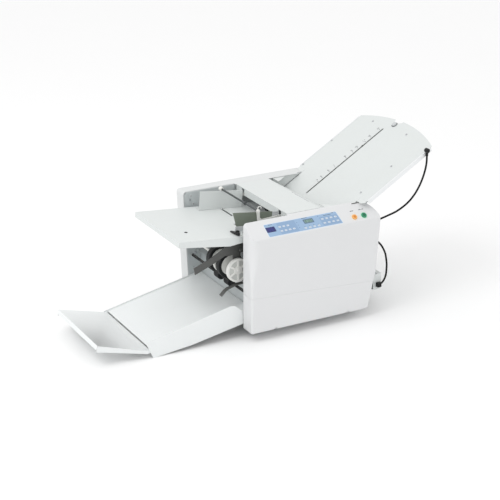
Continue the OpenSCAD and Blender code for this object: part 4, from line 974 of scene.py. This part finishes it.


# pan-head screws with a crossed recess, as a head and a dark cross of painted shade where the recess would
# be
def screwHeads(name, places, place, radius, body, slotName):
    heads, recessShades = [], []
    for a, b, level in places:
        r = radius
        heads.append(turned([(0, level - 0.6), (r, level - 0.6), (r, level + 0.3), (r * 0.8, level + 1.0),
                             (r * 0.4, level + 1.3), (0, level + 1.35)], a, b, place, 28))
        for wide, tall in ((r * 0.55, r * 0.14), (r * 0.14, r * 0.55)):
            bar = rectangle(a - wide, b - tall, a + wide, b + tall)
            # each dark cross is painted shade standing for the recess
            recessShades.append(prism(bar, level + 1.0, level + 1.42, place))
    finishPiece(name, heads, "strip", body, slotName, sharp=50)
    finishPiece(name + "Crosses", recessShades, "dark", body, slotName)


farFrameFace = 191.7


# the far frame's inner face, looking along -Y: x, z and how far off it
def onFarFrame(points):
    p = np.asarray(points, float)
    return metres(np.stack([p[..., 0], farFrameFace - p[..., 2], p[..., 1]], -1))


def rootPiece(name, parts, finish, node, bevel=0.0, sharp=34):
    finishPiece(name, parts, finish, "root", nodeSlots[node], bevel=bevel, sharp=sharp)


def makeSheetParts():
    plug = [(0, -0.6), (5.8, -0.6), (6, 0.3), (5.2, 1.0), (3.2, 1.3), (0, 1.35)]
    rootPiece("tablePlug", [turned(plug, 72, -81, onTable, 36)], "black", "guide_lever", sharp=50)
    places = [(-4.9, 407, 0), (4.8, 376, 0), (29.6, 376, 0), (16, 168, 0), (-6, 100, 0)]
    screwHeads("frameScrews", places, onFarFrame, 4.2, "root", nodeSlots["far_side_frame"])
    # a grey strip filling the top cover's notch is painted shade of the gap there
    strip = prism(rectangle(308.6, -107, 311.7, -12), 424.4, 425.25, metres)
    finishPiece("topCoverNotchShade", [strip], "strip", "top_cover", nodeSlots["top_cover"], bevel=0.0002)
    screwHeads("gussetScrew", [(352, 187, 422.0)], metres, 3.4, "root", nodeSlots["rear_guard"])
    hook = metres([(92, -131, 441), (93, -131, 446), (97, -131, 449.2), (102, -131, 448.6), (105, -131, 445),
                   (104.4, -131, 441)])
    finishPiece("holdDownHook", [tubeAlong(smoothRoute(hook, 5), 0.0014, 12)], "white", "hold_down",
                nodeSlots["hold_down_arms"], sharp=60)
    y, z = -201, 424.4
    rod = tubeAlong(metres([(x, y, z) for x in (430, 445, 460, 476)]), 0.0014, 16)
    end = [(0, 475), (2.4, 475.3), (3, 476.5), (3, 479), (2.2, 480.4), (0, 480.8)]
    rootPiece("coverRod", [rod, turned(end, y, z, alongBody, 28)], "dark", "hold_down_rods", sharp=50)


# the frames reach up under the upper plate where its tongue widens
def makeEars():
    outline = [(456, 408), (484, 408), (484, 433.4), (456, 416.8)]
    for name, low, high in (("nearEar", -194.7, -191.7), ("farEar", 191.7, 194.7)):
        rootPiece(name, [prism(outline, low, high, acrossBody)], "sheet", "near_side_frame", 0.0004)


# small tabs at the foot of the upper plate, one at each side of its tongue
def makePlateCorners():
    for name, side in (("nearPlateCorner", -1), ("farPlateCorner", 1)):
        outline = [(-6.5, side * 188.2), (12.4, side * 188.2), (12.4, side * 229.4), (3, side * 229.4),
                   (-6.5, side * 216)]
        rootPiece(name, [prism(outline, -1.45, -0.02, onUpper)], "sheet", "plate1_top_sheet")


# slot edges, painted shade under the slot, ticks and plain numbers of the upper plate's scale
plateScale = dict(at=(-9, 12, 48, 76, 131, 165, 190, 228, 256, 300), firstNumber=4, y=82, slot=(-72, 310),
                  tick=(67, 74), ink=(-0.1, 0.15), clip=(346, 30))


def makePlateScale():
    s0, s1 = plateScale["slot"]
    edges = [prism(rectangle(s0, y, s1, y + 1.3), -0.2, 0.25, onUpper) for y in (55.6, 61.1)]
    # a dark strip under the slot is painted shade in the slot
    edges.append(prism(rectangle(s0, 57.1, s1, 60.9), -3.6, -3.3, onUpper))
    rootPiece("plateSlotEdgesAndShade", edges, "dark", "plate1_top_sheet")
    marks = []
    y0, y1 = plateScale["tick"]
    low, high = plateScale["ink"]
    for i, s in enumerate(plateScale["at"]):
        marks.append(prism(rectangle(s - 0.9, y0, s + 0.9, y1), low, high, onUpper))
        tens, ones = divmod(i + plateScale["firstNumber"], 10)
        if tens:
            marks += figureBars(tens, s - 4, plateScale["y"], 4.4, 8, 1.4, low, high, onUpper)
        marks += figureBars(ones, s + 3.4, plateScale["y"], 4.4, 8, 1.4, low, high, onUpper)
    rootPiece("plateScale", marks, "scale", "plate1_top_sheet")
    ring = [(0, 0.05), (12, 0.05), (12, 0.6), (11.4, 0.8), (0, 0.8)]
    stud = [(0, 0.6), (9.4, 0.6), (9.4, 4.6), (8.6, 5.6), (6.4, 6.2), (0, 6.3)]
    for name, profile, finish in (("clipRing", ring, "scale"), ("clipStud", stud, "strip")):
        made = turned(profile, *plateScale["clip"], onUpper, 48)
        rootPiece(name, [made], finish, "plate1_rails", sharp=50)


wheelWeb = dict(at=(-156, -58), radius=36, thick=2.4, axle=(0, 241))


# pale webs close the wheels between their spokes
def makeWheelWebs():
    r, thick = wheelWeb["radius"], wheelWeb["thick"]
    parts = []
    for y in wheelWeb["at"]:
        disc = rectangle(0, y, r, y + thick)
        parts.append(turned(disc, *wheelWeb["axle"], acrossBody, 56))
    finishPiece("wheelWebs", parts, "web", "exit_wheels", nodeSlots["exit_wheels"])


makeSheetParts()
makeEars()
makePlateCorners()
makePlateScale()
makeWheelWebs()
print("small parts")


studio = dict(floorHalf=12, floorTone=0.96, world=0.98, lightAt=(-2.7, -0.7, 3.7), lightAim=(0, 0, 0.2),
              lightSize=2.4, lightPower=44)


def makeFloor():
    mesh = bpy.data.meshes.new("floor")
    half, grey = studio["floorHalf"], studio["floorTone"]
    corners = [(x, y, 0) for x, y in rectangle(-half, -half, half, half)]
    mesh.from_pydata(corners, [], [(0, 1, 2, 3)])
    made, tree, shader = startMaterial("floorPaper", 0.9)
    drifting = useEffect(tree, "drift", {"Colour": (grey, grey, grey, 1), "Amount": 0.01, "Size": 2.0})
    link(tree, drifting.outputs["Colour"], shader.inputs["Base Color"])
    mesh.materials.append(made)
    floor = bpy.data.objects.new("floor", mesh)
    bpy.context.collection.objects.link(floor)


def makeWorld(strength):
    world = bpy.data.worlds.new("studio")
    world.use_nodes = True
    tree = world.node_tree
    tree.nodes.clear()
    out = tree.nodes.new("ShaderNodeOutputWorld")
    path = tree.nodes.new("ShaderNodeLightPath")
    soft = addNode(tree, "ShaderNodeBackground", {"Color": (1, 1, 1, 1), "Strength": strength})
    seen = addNode(tree, "ShaderNodeBackground", {"Color": (1, 1, 1, 1), "Strength": 1.0})
    mix = tree.nodes.new("ShaderNodeMixShader")
    link(tree, path.outputs["Is Camera Ray"], mix.inputs[0])
    link(tree, soft.outputs[0], mix.inputs[1])
    link(tree, seen.outputs[0], mix.inputs[2])
    link(tree, mix.outputs[0], out.inputs[0])
    bpy.context.scene.world = world


def areaLight(name, place, aim, size, power):
    data = bpy.data.lights.new(name, "AREA")
    data.shape = "DISK"
    data.size = size
    data.energy = power
    lamp = bpy.data.objects.new(name, data)
    bpy.context.collection.objects.link(lamp)
    lamp.location = place
    lamp.rotation_euler = (Vector(aim) - Vector(place)).to_track_quat("-Z", "Y").to_euler()


makeFloor()
makeWorld(studio["world"])
areaLight("key", studio["lightAt"], studio["lightAim"], studio["lightSize"], studio["lightPower"])
bpy.context.scene.view_settings.view_transform = "Standard"
print("stage")
